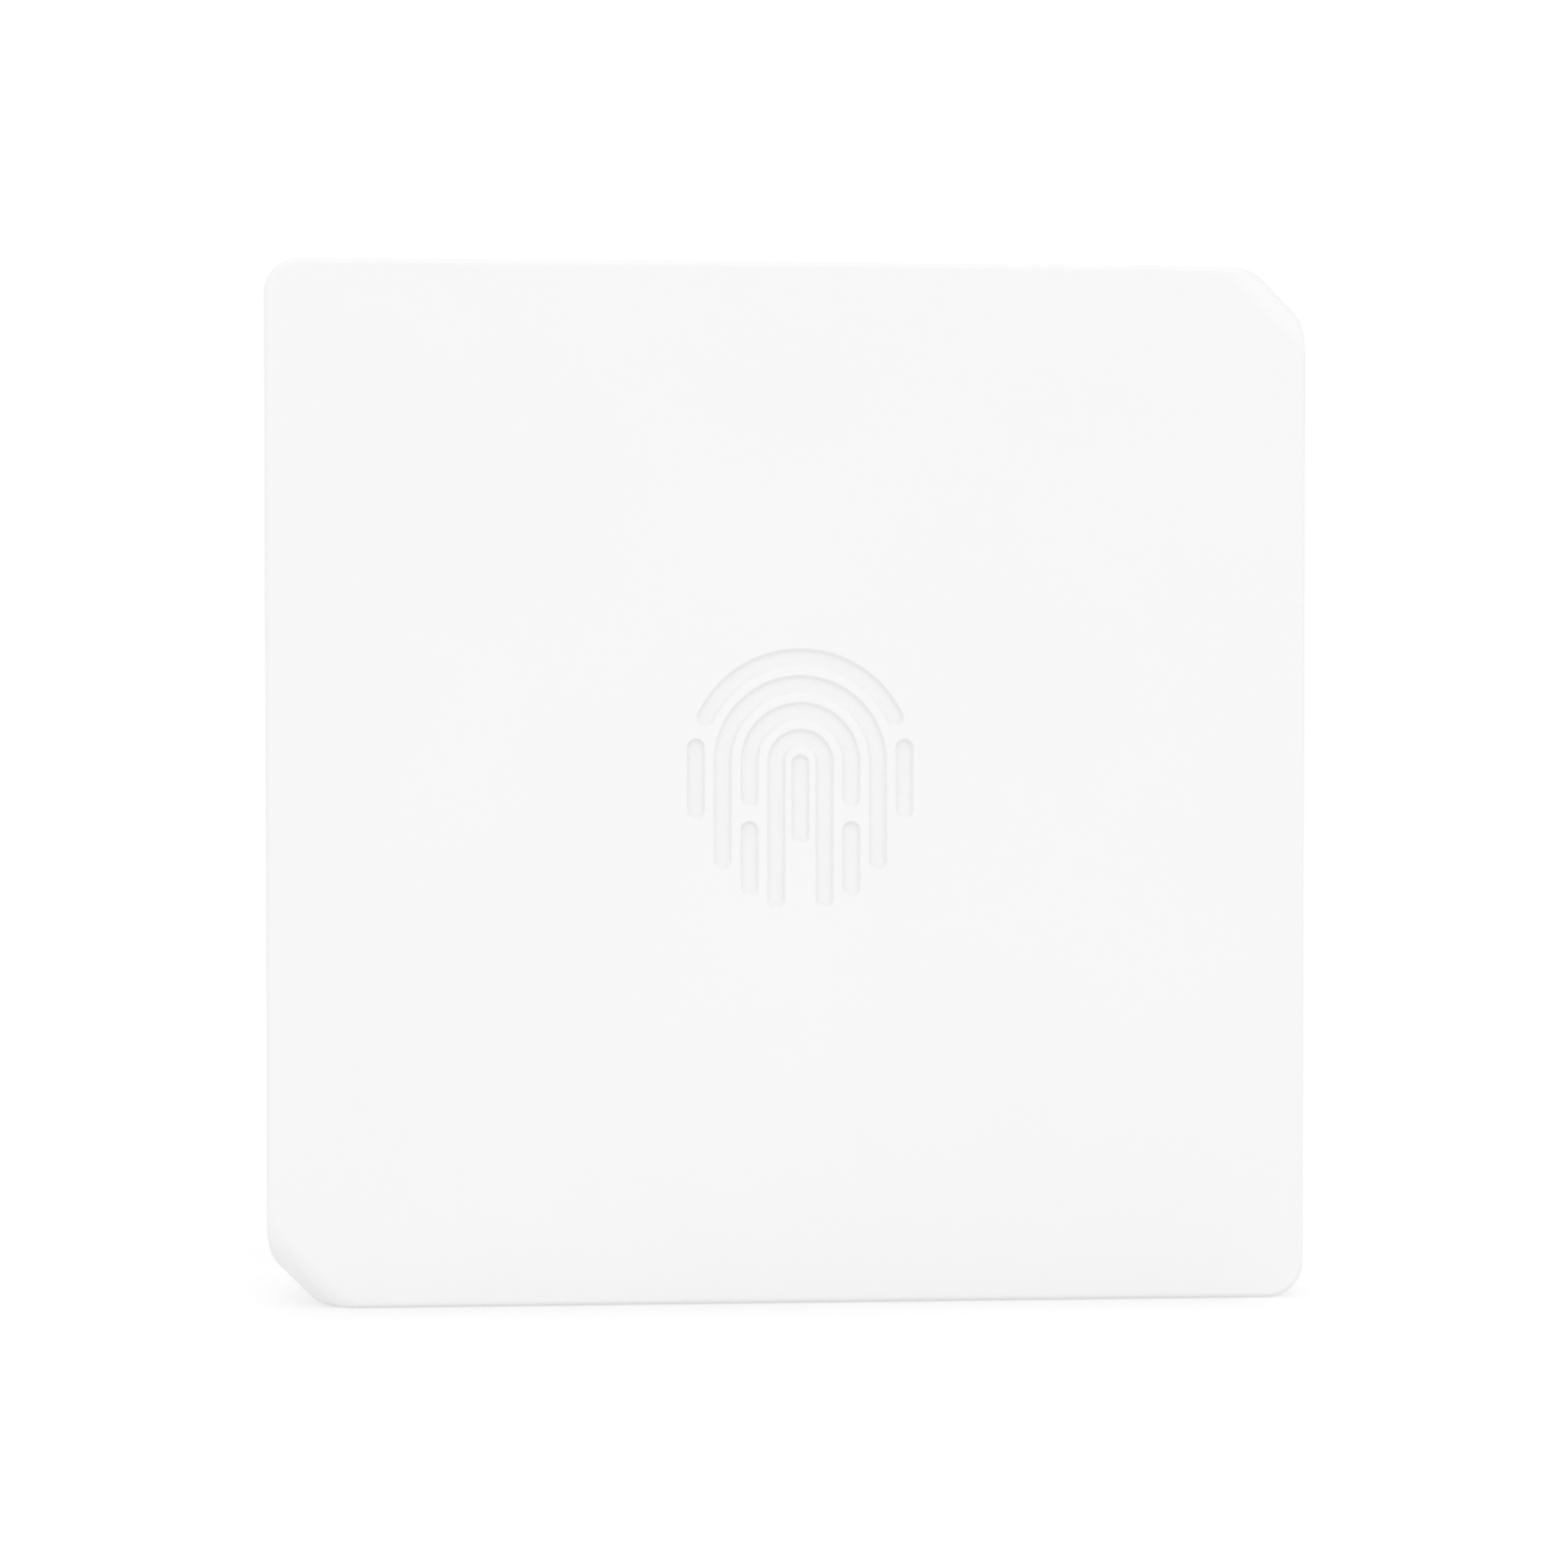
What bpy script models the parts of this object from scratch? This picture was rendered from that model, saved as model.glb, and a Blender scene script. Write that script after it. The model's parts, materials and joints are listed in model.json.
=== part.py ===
"""Square wall-mounted RFID card reader, modelled as the separate pieces it is built from.

X runs to the right, Z up, and the reading face looks along -Y, so the reader stands on its lower edge.
Sizes are in millimetres. A "depth" is the distance behind the reading face, and a place is (x, depth, z).
"""
import math

import bmesh
import bpy
from mathutils import Matrix, Vector

# Driving dimensions (mm)
SIDE = 86.0
BODY_DEPTH = 18.0
PLUNGER_REACH = 1.5
WALL = 2.0
COVER_DEPTH = 9.0
CORNER_RADIUS = 3.0
CUT_LEG = 4.1
CUT_BLEND = 2.75
EDGE_RADIUS = 0.5
CUT_ROLL_RADIUS = 2.6
GAP = 0.3
CREASE_ANGLE = math.radians(35)

HALF = SIDE / 2
MID_Z = SIDE / 2
FRONT_Y = -(BODY_DEPTH + PLUNGER_REACH) / 2
MM = 0.001

# Touch symbol: stroke width, groove depth, radii of its four arches and the place it is drawn round
STROKE = 1.22
GROOVE_DEPTH = 0.25
ARCH_RADII = (2.0, 4.21, 6.42, 8.63)
ARCH_CENTRE = (0.8, 44.8)
SYMBOL_CENTRE = (0.6, 43.4)

# Depths of the stack behind the reading face
GUIDE_FRONT = 2.2
ELECTRODE_FRONT = 4.0
COIL_FRONT = 4.2
FERRITE_FRONT = 5.9
BOARD_FRONT = 6.6
BOARD_BACK = 8.2
LIP_FRONT = 6.9
LIP_BACK = 10.6
REAR_RIM_FRONT = 9.4
WEB_FRONT = 12.8
WEB_BACK = 14.6
HOUSING_BACK = 17.8
PLATE_FRONT = 16.8
PLATE_THICK = 1.2

# Layout across the face
BOARD_HALF = 38.0
BOARD_NOTCH = 32.5
COVER_SCREWS = [(sx * 36.0, MID_Z + sz * 36.0) for sz in (1, -1) for sx in (-1, 1)]
BOARD_SCREWS = [(sx * 34.5, MID_Z + sz * 22.0) for sz in (1, -1) for sx in (-1, 1)]
COIL_CENTRE_Z = 45.5
BAY_HALF = 22.0
BAY_LOW = 16.0
BAY_HIGH = 50.0
BAY_WALL = 1.2
PLATE_HALF = 39.0
PLATE_LOW = 3.1
PLATE_HIGH = 80.4
TAB_X = 24.0
TAB_WIDTH = 8.0
TAMPER_AT = (14.0, 44.0)
PROGRAM_AT = (14.0, 22.0)
LOCK_DEPTH = 13.2
HINGE_DEPTH = 15.8

MATERIALS = {
    "cover_plastic": ((0.86, 0.86, 0.85), 0.55, 0.0),
    "housing_plastic": ((0.80, 0.80, 0.79), 0.6, 0.0),
    "seal_rubber": ((0.10, 0.10, 0.11), 0.85, 0.0),
    "clear_plastic": ((0.92, 0.94, 0.95), 0.3, 0.0),
    "board_laminate": ((0.03, 0.20, 0.09), 0.4, 0.0),
    "copper_wire": ((0.72, 0.33, 0.14), 0.3, 1.0),
    "ferrite": ((0.07, 0.07, 0.08), 0.7, 0.0),
    "spring_steel": ((0.62, 0.62, 0.62), 0.3, 1.0),
    "chip_epoxy": ((0.03, 0.03, 0.035), 0.5, 0.0),
    "led_white": ((0.88, 0.86, 0.70), 0.35, 0.0),
    "plated_can": ((0.70, 0.70, 0.71), 0.25, 1.0),
    "terminal_green": ((0.05, 0.36, 0.14), 0.45, 0.0),
    "switch_red": ((0.55, 0.04, 0.03), 0.45, 0.0),
    "button_black": ((0.04, 0.04, 0.04), 0.5, 0.0),
    "plate_steel": ((0.66, 0.67, 0.68), 0.35, 1.0),
    "screw_steel": ((0.60, 0.60, 0.61), 0.3, 1.0),
    "insert_brass": ((0.72, 0.53, 0.22), 0.3, 1.0),
}


# ---------------------------------------------------------------- general tools

def place(x, depth, z):
    """A point of the reader in metres."""
    return Vector((x * MM, (FRONT_Y + depth) * MM, z * MM))


def clear_scene():
    for item in list(bpy.data.objects):
        bpy.data.objects.remove(item, do_unlink=True)


def make_material(slot):
    found = bpy.data.materials.get(slot)
    if found:
        return found
    colour, roughness, metallic = MATERIALS[slot]
    made = bpy.data.materials.new(slot)
    made.use_nodes = True
    shader = made.node_tree.nodes["Principled BSDF"]
    shader.inputs["Base Color"].default_value = (*colour, 1.0)
    shader.inputs["Roughness"].default_value = roughness
    shader.inputs["Metallic"].default_value = metallic
    made.diffuse_color = (*colour, 1.0)
    return made


def shade_by_shape(bm):
    """Shades curved stretches smooth and leaves flat faces and corners crisp."""
    for edge in bm.edges:
        edge.smooth = edge.calc_face_angle(0.0) < CREASE_ANGLE
    for face in bm.faces:
        bends = [edge.calc_face_angle(0.0) for edge in face.edges]
        face.smooth = len(bends) <= 4 and any(0.01 < bend < CREASE_ANGLE for bend in bends)


def solid(name, bm, slot):
    """Turns a bmesh into a finished object with outward faces."""
    bmesh.ops.recalc_face_normals(bm, faces=bm.faces)
    shade_by_shape(bm)
    mesh = bpy.data.meshes.new(name)
    bm.to_mesh(mesh)
    bm.free()
    made = bpy.data.objects.new(name, mesh)
    bpy.context.scene.collection.objects.link(made)
    if slot:
        mesh.materials.append(make_material(slot))
    return made


def move_origin(item, point):
    """Puts the object's origin at a point, such as one on its joint's axis, without moving its shape."""
    item.data.transform(Matrix.Translation(-point))
    item.location = point
    return item


def tool_body(name, bm):
    """A body that only shapes another one."""
    made = solid(name, bm, None)
    made.hide_render = True
    made.display_type = 'WIRE'
    return made


def shape_with(target, operation, name, bm):
    tool = tool_body(f"tool_{target.name}_{name}", bm)
    step = target.modifiers.new(name, 'BOOLEAN')
    step.operation = operation
    step.solver = 'EXACT'
    step.object = tool


def cut(target, name, bm):
    shape_with(target, 'DIFFERENCE', name, bm)


def fuse(target, name, bm):
    shape_with(target, 'UNION', name, bm)


def add_loft(bm, rings, closed=False):
    """Skins a row of equal rings; the ends are capped, or joined to each other when closed."""
    rows = [[bm.verts.new(point) for point in ring] for ring in rings]
    pairs = list(zip(rows, rows[1:]))
    if closed:
        pairs.append((rows[-1], rows[0]))
    for first, second in pairs:
        for i in range(len(first)):
            j = (i + 1) % len(first)
            bm.faces.new((first[i], first[j], second[j], second[i]))
    if not closed:
        bm.faces.new(rows[0])
        bm.faces.new(rows[-1])
    return bm


def loft(rings, closed=False):
    return add_loft(bmesh.new(), rings, closed)


def add_box(bm, low, high, bevel=0.0):
    centre = place(*[(a + b) / 2 for a, b in zip(low, high)])
    size = [abs(b - a) * MM for a, b in zip(low, high)]
    matrix = Matrix.Translation(centre) @ Matrix.Diagonal((*size, 1.0))
    made = bmesh.ops.create_cube(bm, size=1.0, matrix=matrix)
    if bevel:
        edges = list({edge for vert in made["verts"] for edge in vert.link_edges})
        bmesh.ops.bevel(bm, geom=edges, offset=bevel * MM, segments=1, affect='EDGES')
    return bm


def box(low, high, bevel=0.0):
    return add_box(bmesh.new(), low, high, bevel)


def circle(centre, radius, along, sides, turn=0.0):
    """A ring about a centre (x, depth, z); "along" is the letter of the axis it turns about."""
    x, depth, z = centre
    points = []
    for i in range(sides):
        angle = 2 * math.pi * i / sides + turn
        u = radius * math.cos(angle)
        v = radius * math.sin(angle)
        points.append(place(x + u, depth, z + v) if along == 'Y' else place(x + u, depth + v, z))
    return points


def add_turned(bm, axis_at, profile, along='Y', sides=16, closed=False):
    """Turns (radius, position) steps about a line along Y, at (x, z), or along Z, at (x, depth)."""
    rings = []
    for radius, position in profile:
        centre = (axis_at[0], position, axis_at[1]) if along == 'Y' else (*axis_at, position)
        rings.append(circle(centre, radius, along, sides, math.pi / sides))
    return add_loft(bm, rings, closed)


def turned(axis_at, profile, along='Y', sides=16, closed=False):
    return add_turned(bmesh.new(), axis_at, profile, along, sides, closed)


def cylinders(spots, radius, near, far, sides=16):
    bm = bmesh.new()
    for spot in spots:
        add_turned(bm, spot, [(radius, near), (radius, far)], sides=sides)
    return bm


def plate_of(points, near, far):
    """Extrudes an outline of (x, z) points from one depth to another."""
    return loft([[place(x, depth, z) for x, z in points] for depth in (near, far)])


def rounded_rectangle(half_x, half_z, radius, centre, steps=4):
    points = []
    for corner, (sx, sz) in enumerate(((1, 1), (-1, 1), (-1, -1), (1, -1))):
        for i in range(steps + 1):
            angle = math.pi / 2 * (corner + i / steps)
            x = centre[0] + sx * (half_x - radius) + radius * math.cos(angle)
            z = centre[1] + sz * (half_z - radius) + radius * math.sin(angle)
            points.append((x, z))
    return points


def helix(at, radius, wire, near, far, turns, steps=12, sides=6):
    """A coil spring about a line along Y at (x, z)."""
    rings = []
    count = int(turns * steps)
    for i in range(count + 1):
        angle = 2 * math.pi * i / steps
        depth = near + wire + (far - near - 2 * wire) * i / count
        ring = []
        for k in range(sides):
            around = 2 * math.pi * k / sides
            reach = radius + wire * math.cos(around)
            ring.append(place(at[0] + reach * math.cos(angle),
                              depth + wire * math.sin(around),
                              at[1] + reach * math.sin(angle)))
        rings.append(ring)
    return loft(rings)


# ---------------------------------------------------------------- outline of the case

def arc(centre, radius, start, end, steps):
    """Points of an arc, from one angle to another in degrees."""
    points = []
    for i in range(steps + 1):
        angle = math.radians(start + (end - start) * i / steps)
        points.append((centre[0] + radius * math.cos(angle), centre[1] + radius * math.sin(angle)))
    return points


def outline(inset, cut_shift=0.0):
    """The case's outline moved inwards: two opposite corners are round, the other two cut at 45 degrees.

    cut_shift moves the cuts further in, square to themselves, for the soft roll along them.
    """
    edge = HALF - inset
    radius = max(CORNER_RADIUS - inset, 0.4)
    blend = max(CUT_BLEND - inset, 0.4)
    leg = CUT_LEG + (inset + cut_shift) * math.sqrt(2) - 2 * inset
    tangent = blend * math.tan(math.radians(22.5))
    ends = ((edge - leg - tangent, edge - blend), (edge - blend, edge - leg - tangent))
    points = arc((edge - radius, -(edge - radius)), radius, -90, 0, 8)
    points += arc(ends[1], blend, 0, 45, 4) + arc(ends[0], blend, 45, 90, 4)
    points += arc((-(edge - radius), edge - radius), radius, 90, 180, 8)
    points += arc((-ends[1][0], -ends[1][1]), blend, 180, 225, 4)
    points += arc((-ends[0][0], -ends[0][1]), blend, 225, 270, 4)
    return [(x, MID_Z + z) for x, z in points]


def outline_ring(inset, depth, cut_shift=0.0):
    return [place(x, depth, z) for x, z in outline(inset, cut_shift)]


def rolled_in(radius, depth):
    """How far a quarter-round edge is set in at a depth behind the face."""
    if depth >= radius:
        return 0.0
    return radius - math.sqrt(radius ** 2 - (radius - depth) ** 2)


# ---------------------------------------------------------------- touch symbol

def arch(ring, left, right, leg=0.0):
    """An arch of the symbol from its left angle over the top to its right one, with straight legs."""
    crown = arc((0, 0), ARCH_RADII[ring], left, right, round(abs(left - right) / 12))
    if not leg:
        return crown
    return [(crown[0][0], -leg)] + crown + [(crown[-1][0], -leg)]


def symbol_strokes():
    """Centre lines of a plain fingertip symbol, the same on both sides, about its arches' centre."""
    strokes = [arch(3, 155, 25), arch(2, 180, 0, 8.2), arch(1, 180, 0, 3.0), arch(0, 180, 0, 11.4)]
    strokes.append([(0.0, -0.1), (0.0, -6.1)])
    for side in (-1, 1):
        outer = side * ARCH_RADII[3]
        inner = side * ARCH_RADII[1]
        strokes.append([(outer, 1.2), (outer, -4.0)])
        strokes.append([(inner, -5.6), (inner, -10.4)])
    return strokes


def stroke_outline(points, half_width):
    """A closed outline round a centre line, with round ends."""
    left = []
    right = []
    for i, (x, z) in enumerate(points):
        before = points[max(i - 1, 0)]
        after = points[min(i + 1, len(points) - 1)]
        angle = math.atan2(after[1] - before[1], after[0] - before[0])
        side = (-math.sin(angle) * half_width, math.cos(angle) * half_width)
        left.append((x + side[0], z + side[1]))
        right.append((x - side[0], z - side[1]))
    first = math.degrees(math.atan2(points[1][1] - points[0][1], points[1][0] - points[0][0]))
    last = math.degrees(math.atan2(points[-1][1] - points[-2][1], points[-1][0] - points[-2][0]))
    start_cap = arc(points[0], half_width, first + 90, first + 270, 6)[1:-1]
    end_cap = arc(points[-1], half_width, last - 90, last + 90, 6)[1:-1]
    return right + end_cap + left[::-1] + start_cap


def symbol_grooves():
    bm = bmesh.new()
    for stroke in symbol_strokes():
        placed = [(x + ARCH_CENTRE[0], z + ARCH_CENTRE[1]) for x, z in stroke]
        ring = stroke_outline(placed, STROKE / 2)
        add_loft(bm, [[place(x, depth, z) for x, z in ring] for depth in (-GROOVE_DEPTH, GROOVE_DEPTH)])
    return bm


# ---------------------------------------------------------------- case

def front_cover():
    rings = []
    depths = [EDGE_RADIUS * f for f in (0.0, 0.12, 0.4, 1.0)] + [CUT_ROLL_RADIUS * f for f in (0.55, 1.0)]
    for depth in depths:
        inset = rolled_in(EDGE_RADIUS, depth)
        rings.append(outline_ring(inset, depth, rolled_in(CUT_ROLL_RADIUS, depth) - inset))
    rebate = 1.0
    rebate_front = COVER_DEPTH - 1.2
    rings.append(outline_ring(0.0, COVER_DEPTH))
    rings.append(outline_ring(rebate, COVER_DEPTH))
    rings.append(outline_ring(rebate, rebate_front))
    rings.append(outline_ring(WALL, rebate_front))
    rings.append(outline_ring(WALL, WALL))
    cover = solid("front_cover", loft(rings), "cover_plastic")
    boss_back = WEB_FRONT - GAP
    fuse(cover, "bosses", cylinders(COVER_SCREWS, 2.7, WALL / 2, boss_back))
    collar_back = ELECTRODE_FRONT - GAP
    collar = [(13.9, WALL / 2), (14.9, WALL / 2), (14.9, collar_back), (13.9, collar_back)]
    fuse(cover, "guide_collar", turned(SYMBOL_CENTRE, collar, sides=40, closed=True))
    cut(cover, "boss_holes", cylinders(COVER_SCREWS, 1.5, 6.5, boss_back + 1, sides=12))
    cut(cover, "symbol", symbol_grooves())
    return move_origin(cover, place(0, 0, MID_Z))


def cover_seal():
    inner, outer = 2.05, 1.25
    near, far = COVER_DEPTH - 0.9, COVER_DEPTH + 0.1
    rings = [outline_ring(inset, depth) for inset, depth in
             ((outer, near), (outer, far), (inner, far), (inner, near))]
    solid("cover_seal", loft(rings, closed=True), "seal_rubber")


def housing_shell():
    lip_outer = WALL + GAP
    lip_inner = lip_outer + 1.2
    steps = [(WALL, WEB_FRONT), (WALL, LIP_BACK), (lip_inner, LIP_BACK), (lip_inner, LIP_FRONT),
             (lip_outer, LIP_FRONT), (lip_outer, REAR_RIM_FRONT), (0.0, REAR_RIM_FRONT),
             (0.0, HOUSING_BACK - 0.5), (0.5, HOUSING_BACK), (WALL, HOUSING_BACK), (WALL, WEB_BACK)]
    return loft([outline_ring(inset, depth) for inset, depth in steps])


def rear_housing():
    housing = solid("rear_housing", housing_shell(), "housing_plastic")
    fuse(housing, "board_posts", cylinders(BOARD_SCREWS, 2.6, BOARD_BACK + GAP, WEB_FRONT + 0.5))
    frame = BAY_HALF + BAY_WALL
    fuse(housing, "bay_frame", box((-frame, BOARD_BACK + 0.4, BAY_LOW - BAY_WALL),
                                   (frame, WEB_FRONT + 0.5, BAY_HIGH + BAY_WALL)))
    lock_at = (0.0, LOCK_DEPTH)
    fuse(housing, "lock_boss", turned(lock_at, [(3.4, 4.7), (3.4, 10.5)], 'Z'))
    ledges = bmesh.new()
    for side in (-1, 1):
        left = side * TAB_X - 5
        add_box(ledges, (left, HOUSING_BACK - 1.2, 81.4), (left + 10, HOUSING_BACK, SIDE - WALL + 0.6))
    fuse(housing, "hook_ledges", ledges)
    cut(housing, "bay", box((-BAY_HALF, BOARD_BACK, BAY_LOW), (BAY_HALF, WEB_BACK + 1, BAY_HIGH)))
    cut(housing, "cover_screw_holes", cylinders(COVER_SCREWS, 1.7, WEB_FRONT - 1, WEB_BACK + 1, 12))
    cut(housing, "board_screw_holes", cylinders(BOARD_SCREWS, 1.25, BOARD_BACK, WEB_FRONT - 0.4, 12))
    cut(housing, "flange_slot", box((-9, WEB_FRONT - 1, WALL - 0.2), (9, WEB_BACK + 1, 4.7)))
    cut(housing, "lock_hole", turned(lock_at, [(2.6, -1.0), (2.6, WALL + 0.5)], 'Z'))
    cut(housing, "insert_hole", turned(lock_at, [(2.3, 4.0), (2.3, 9.7)], 'Z'))
    pockets = bmesh.new()
    for side in (-1, 1):
        left = side * TAB_X - 5
        add_box(pockets, (left, WEB_BACK - 0.8, 79.0), (left + 10, WEB_BACK + 1, SIDE - WALL - 0.2))
    cut(housing, "hook_pockets", pockets)


def screw(name, at, head, tip, head_radius, shank_radius):
    """A slotted screw along Y. head is the depths of its top and its seat; tip is the shank's end."""
    top, seat = head
    out = 1 if top > seat else -1
    steps = [(head_radius - 0.4, top), (head_radius, top - out * 0.3), (head_radius, seat),
             (shank_radius, seat), (shank_radius, tip + out * 0.4), (shank_radius / 2, tip)]
    made = solid(name, turned(at, steps), "screw_steel")
    near, far = sorted((top - out * 0.7, top + out))
    reach = head_radius + 1
    cut(made, "slot", box((at[0] - reach, near, at[1] - 0.35), (at[0] + reach, far, at[1] + 0.35)))


def fasteners():
    for number, at in enumerate(COVER_SCREWS, 1):
        screw(f"cover_screw_{number}", at, (16.3, WEB_BACK + 0.2), 7.0, 2.5, 1.2)
    for number, at in enumerate(BOARD_SCREWS, 1):
        screw(f"board_screw_{number}", at, (4.9, BOARD_FRONT - GAP), 11.8, 2.2, 0.95)


# ---------------------------------------------------------------- electronics

def main_board():
    notch, edge = BOARD_NOTCH, BOARD_HALF
    corner = [(edge, notch), (notch, notch), (notch, edge)]
    points = []
    for turn in range(4):
        c, s = ((1, 0), (0, 1), (-1, 0), (0, -1))[turn]
        points += [(c * x - s * z, MID_Z + s * x + c * z) for x, z in corner]
    board = solid("main_board", plate_of(points, BOARD_FRONT, BOARD_BACK), "board_laminate")
    cut(board, "screw_holes", cylinders(BOARD_SCREWS, 1.3, BOARD_FRONT - 1, BOARD_BACK + 1, 16))


def antenna_stack():
    centre = (0.0, COIL_CENTRE_Z)
    section = ((0, 0.25), (0.25, 0), (2.25, 0), (2.5, 0.25),
               (2.5, 1.35), (2.25, 1.6), (0.25, 1.6), (0, 1.35))
    rings = []
    for inset, depth in section:
        outline_points = rounded_rectangle(30 - inset, 25 - inset, 6 - inset, centre)
        rings.append([place(x, COIL_FRONT + depth, z) for x, z in outline_points])
    solid("antenna_coil", loft(rings, closed=True), "copper_wire")
    sheet = rounded_rectangle(31, 26, 1.5, centre, steps=2)
    ferrite = solid("ferrite_sheet", plate_of(sheet, FERRITE_FRONT, FERRITE_FRONT + 0.5), "ferrite")
    cut(ferrite, "window", cylinders([SYMBOL_CENTRE], 14.0, FERRITE_FRONT - 1, FERRITE_FRONT + 2, 32))


def touch_parts():
    guide = [(13.1, GUIDE_FRONT), (13.5, GUIDE_FRONT + 0.4), (13.5, GUIDE_FRONT + 1.6)]
    made = solid("light_guide", turned(SYMBOL_CENTRE, guide, sides=40), "clear_plastic")
    move_origin(made, place(0, 0, MID_Z))
    near, far = ELECTRODE_FRONT, ELECTRODE_FRONT + 0.3
    ring = [(10.0, near), (13.0, near), (13.0, far), (10.0, far)]
    made = solid("touch_electrode", turned(SYMBOL_CENTRE, ring, sides=40, closed=True), "copper_wire")
    move_origin(made, place(0, 0, MID_Z))
    spring_at = (SYMBOL_CENTRE[0] + 11.5, SYMBOL_CENTRE[1])
    solid("touch_spring", helix(spring_at, 1.2, 0.17, far + 0.15, BOARD_FRONT - 0.1, 4), "spring_steel")


def status_leds():
    for number in range(4):
        angle = math.radians(45 + 90 * number)
        x = SYMBOL_CENTRE[0] + 7.5 * math.cos(angle)
        z = SYMBOL_CENTRE[1] + 7.5 * math.sin(angle)
        shape = box((x - 1.6, BOARD_FRONT - 1.2, z - 1.4), (x + 1.6, BOARD_FRONT - 0.1, z + 1.4))
        led = solid(f"status_led_{number + 1}", shape, "led_white")
        cut(led, "lens", turned((x, z), [(1.25, BOARD_FRONT - 2), (1.25, BOARD_FRONT - 1.0)], sides=12))


def chip(name, centre, half_x, half_z, body, leads, pitch, reach, slot="chip_epoxy"):
    """A moulded chip with rows of leads. body is its two depths; leads go along all four sides."""
    near, far = body
    made = solid(name, box((centre[0] - half_x, near, centre[1] - half_z),
                           (centre[0] + half_x, far, centre[1] + half_z), 0.12), slot)
    if not leads:
        return made
    bm = bmesh.new()
    for i in range(leads):
        offset = (i - (leads - 1) / 2) * pitch
        for side in (-1, 1):
            inner, outer = sorted((side * (half_x - 0.2), side * (half_x + reach)))
            add_box(bm, (centre[0] + inner, far - 0.35, centre[1] + offset - 0.18),
                    (centre[0] + outer, far - 0.1, centre[1] + offset + 0.18))
            inner, outer = sorted((side * (half_z - 0.2), side * (half_z + reach)))
            add_box(bm, (centre[0] + offset - 0.18, far - 0.35, centre[1] + inner),
                    (centre[0] + offset + 0.18, far - 0.1, centre[1] + outer))
    fuse(made, "leads", bm)
    return made


def front_side_parts():
    """The parts in the band below the antenna, on the board's front."""
    on_board = BOARD_FRONT - 0.1
    chip("microcontroller", (-4.0, 12.5), 3.5, 3.5, (on_board - 1.3, on_board), 8, 0.8, 1.0)
    chip("reader_chip", (8.0, 12.5), 2.5, 2.5, (on_board - 0.9, on_board), 0, 0, 0)
    crystal = [(x, z) for x, z in rounded_rectangle(2.5, 1.6, 0.8, (15.5, 12.5), 2)]
    solid("crystal", plate_of(crystal, on_board - 1.0, on_board), "plated_can")
    shape = box((-24.3, on_board - 3.0, 8.3), (-15.8, on_board, 16.8), 0.4)
    buzzer = solid("buzzer", shape, "button_black")
    cut(buzzer, "sound_hole", cylinders([(-20.05, 12.55)], 1.0, on_board - 4, on_board - 1.5, 12))
    inductor = rounded_rectangle(3.0, 3.0, 1.0, (24.0, 12.5), 2)
    solid("power_inductor", plate_of(inductor, on_board - 3.0, on_board), "ferrite")
    for number, x in enumerate((-28.0, 29.5), 1):
        steps = [(1.7, on_board - 4.0), (2.0, on_board - 3.7), (2.0, on_board - 0.4), (2.0, on_board)]
        solid(f"filter_capacitor_{number}", turned((x, 12.5), steps, sides=20), "plated_can")


def terminal_block():
    low = (-18.5, BOARD_BACK + 0.1, 40.0)
    high = (3.0, 15.9, 47.2)
    block = solid("terminal_block", box(low, high, 0.3), "terminal_green")
    spots = [(low[0] + 2.0 + 3.5 * i, 44.2) for i in range(6)]
    cut(block, "screw_wells", cylinders(spots, 1.5, 12.6, high[1] + 1, 12))
    entries = bmesh.new()
    for x, _ in spots:
        add_box(entries, (x - 1.2, 9.2, low[2] - 1), (x + 1.2, 11.8, 45.6))
    cut(block, "wire_entries", entries)
    for number, at in enumerate(spots, 1):
        steps = [(1.2, 12.9), (1.2, 14.4)]
        made = solid(f"terminal_screw_{number}", turned(at, steps, sides=12), "screw_steel")
        cut(made, "slot", box((at[0] - 2, 13.9, at[1] - 0.25), (at[0] + 2, 15, at[1] + 0.25)))


def dip_switch():
    x_low, z_low = 8.0, 28.0
    far = BOARD_BACK + 5.1
    shape = box((x_low, BOARD_BACK + 0.1, z_low), (x_low + 11.6, far, z_low + 9.6), 0.2)
    body = solid("dip_switch", shape, "switch_red")
    slots = bmesh.new()
    travel = 1.3
    for number in range(4):
        x = x_low + 2.0 + 2.54 * number
        z = z_low + 3.4
        add_box(slots, (x - 0.75, far - 2.2, z - 0.4), (x + 0.75, far + 1, z + travel + 1.7))
        shape = box((x - 0.5, far - 1.9, z), (x + 0.5, far + 0.3, z + 1.2))
        slider = solid(f"dip_slider_{number + 1}", shape, "led_white")
        move_origin(slider, place(x, far - 0.8, z + 0.6))
    cut(body, "slots", slots)


def program_switch():
    x, z = PROGRAM_AT
    far = BOARD_BACK + 3.6
    shape = box((x - 3, BOARD_BACK + 0.1, z - 3), (x + 3, far, z + 3), 0.2)
    body = solid("program_switch", shape, "plated_can")
    cut(body, "stem_hole", cylinders([PROGRAM_AT], 2.0, far - 2.4, far + 1))
    steps = [(1.7, far - 1.6), (1.7, far + 1.3), (1.4, far + 1.6)]
    button = solid("program_button", turned(PROGRAM_AT, steps), "button_black")
    move_origin(button, place(x, far, z))


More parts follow.
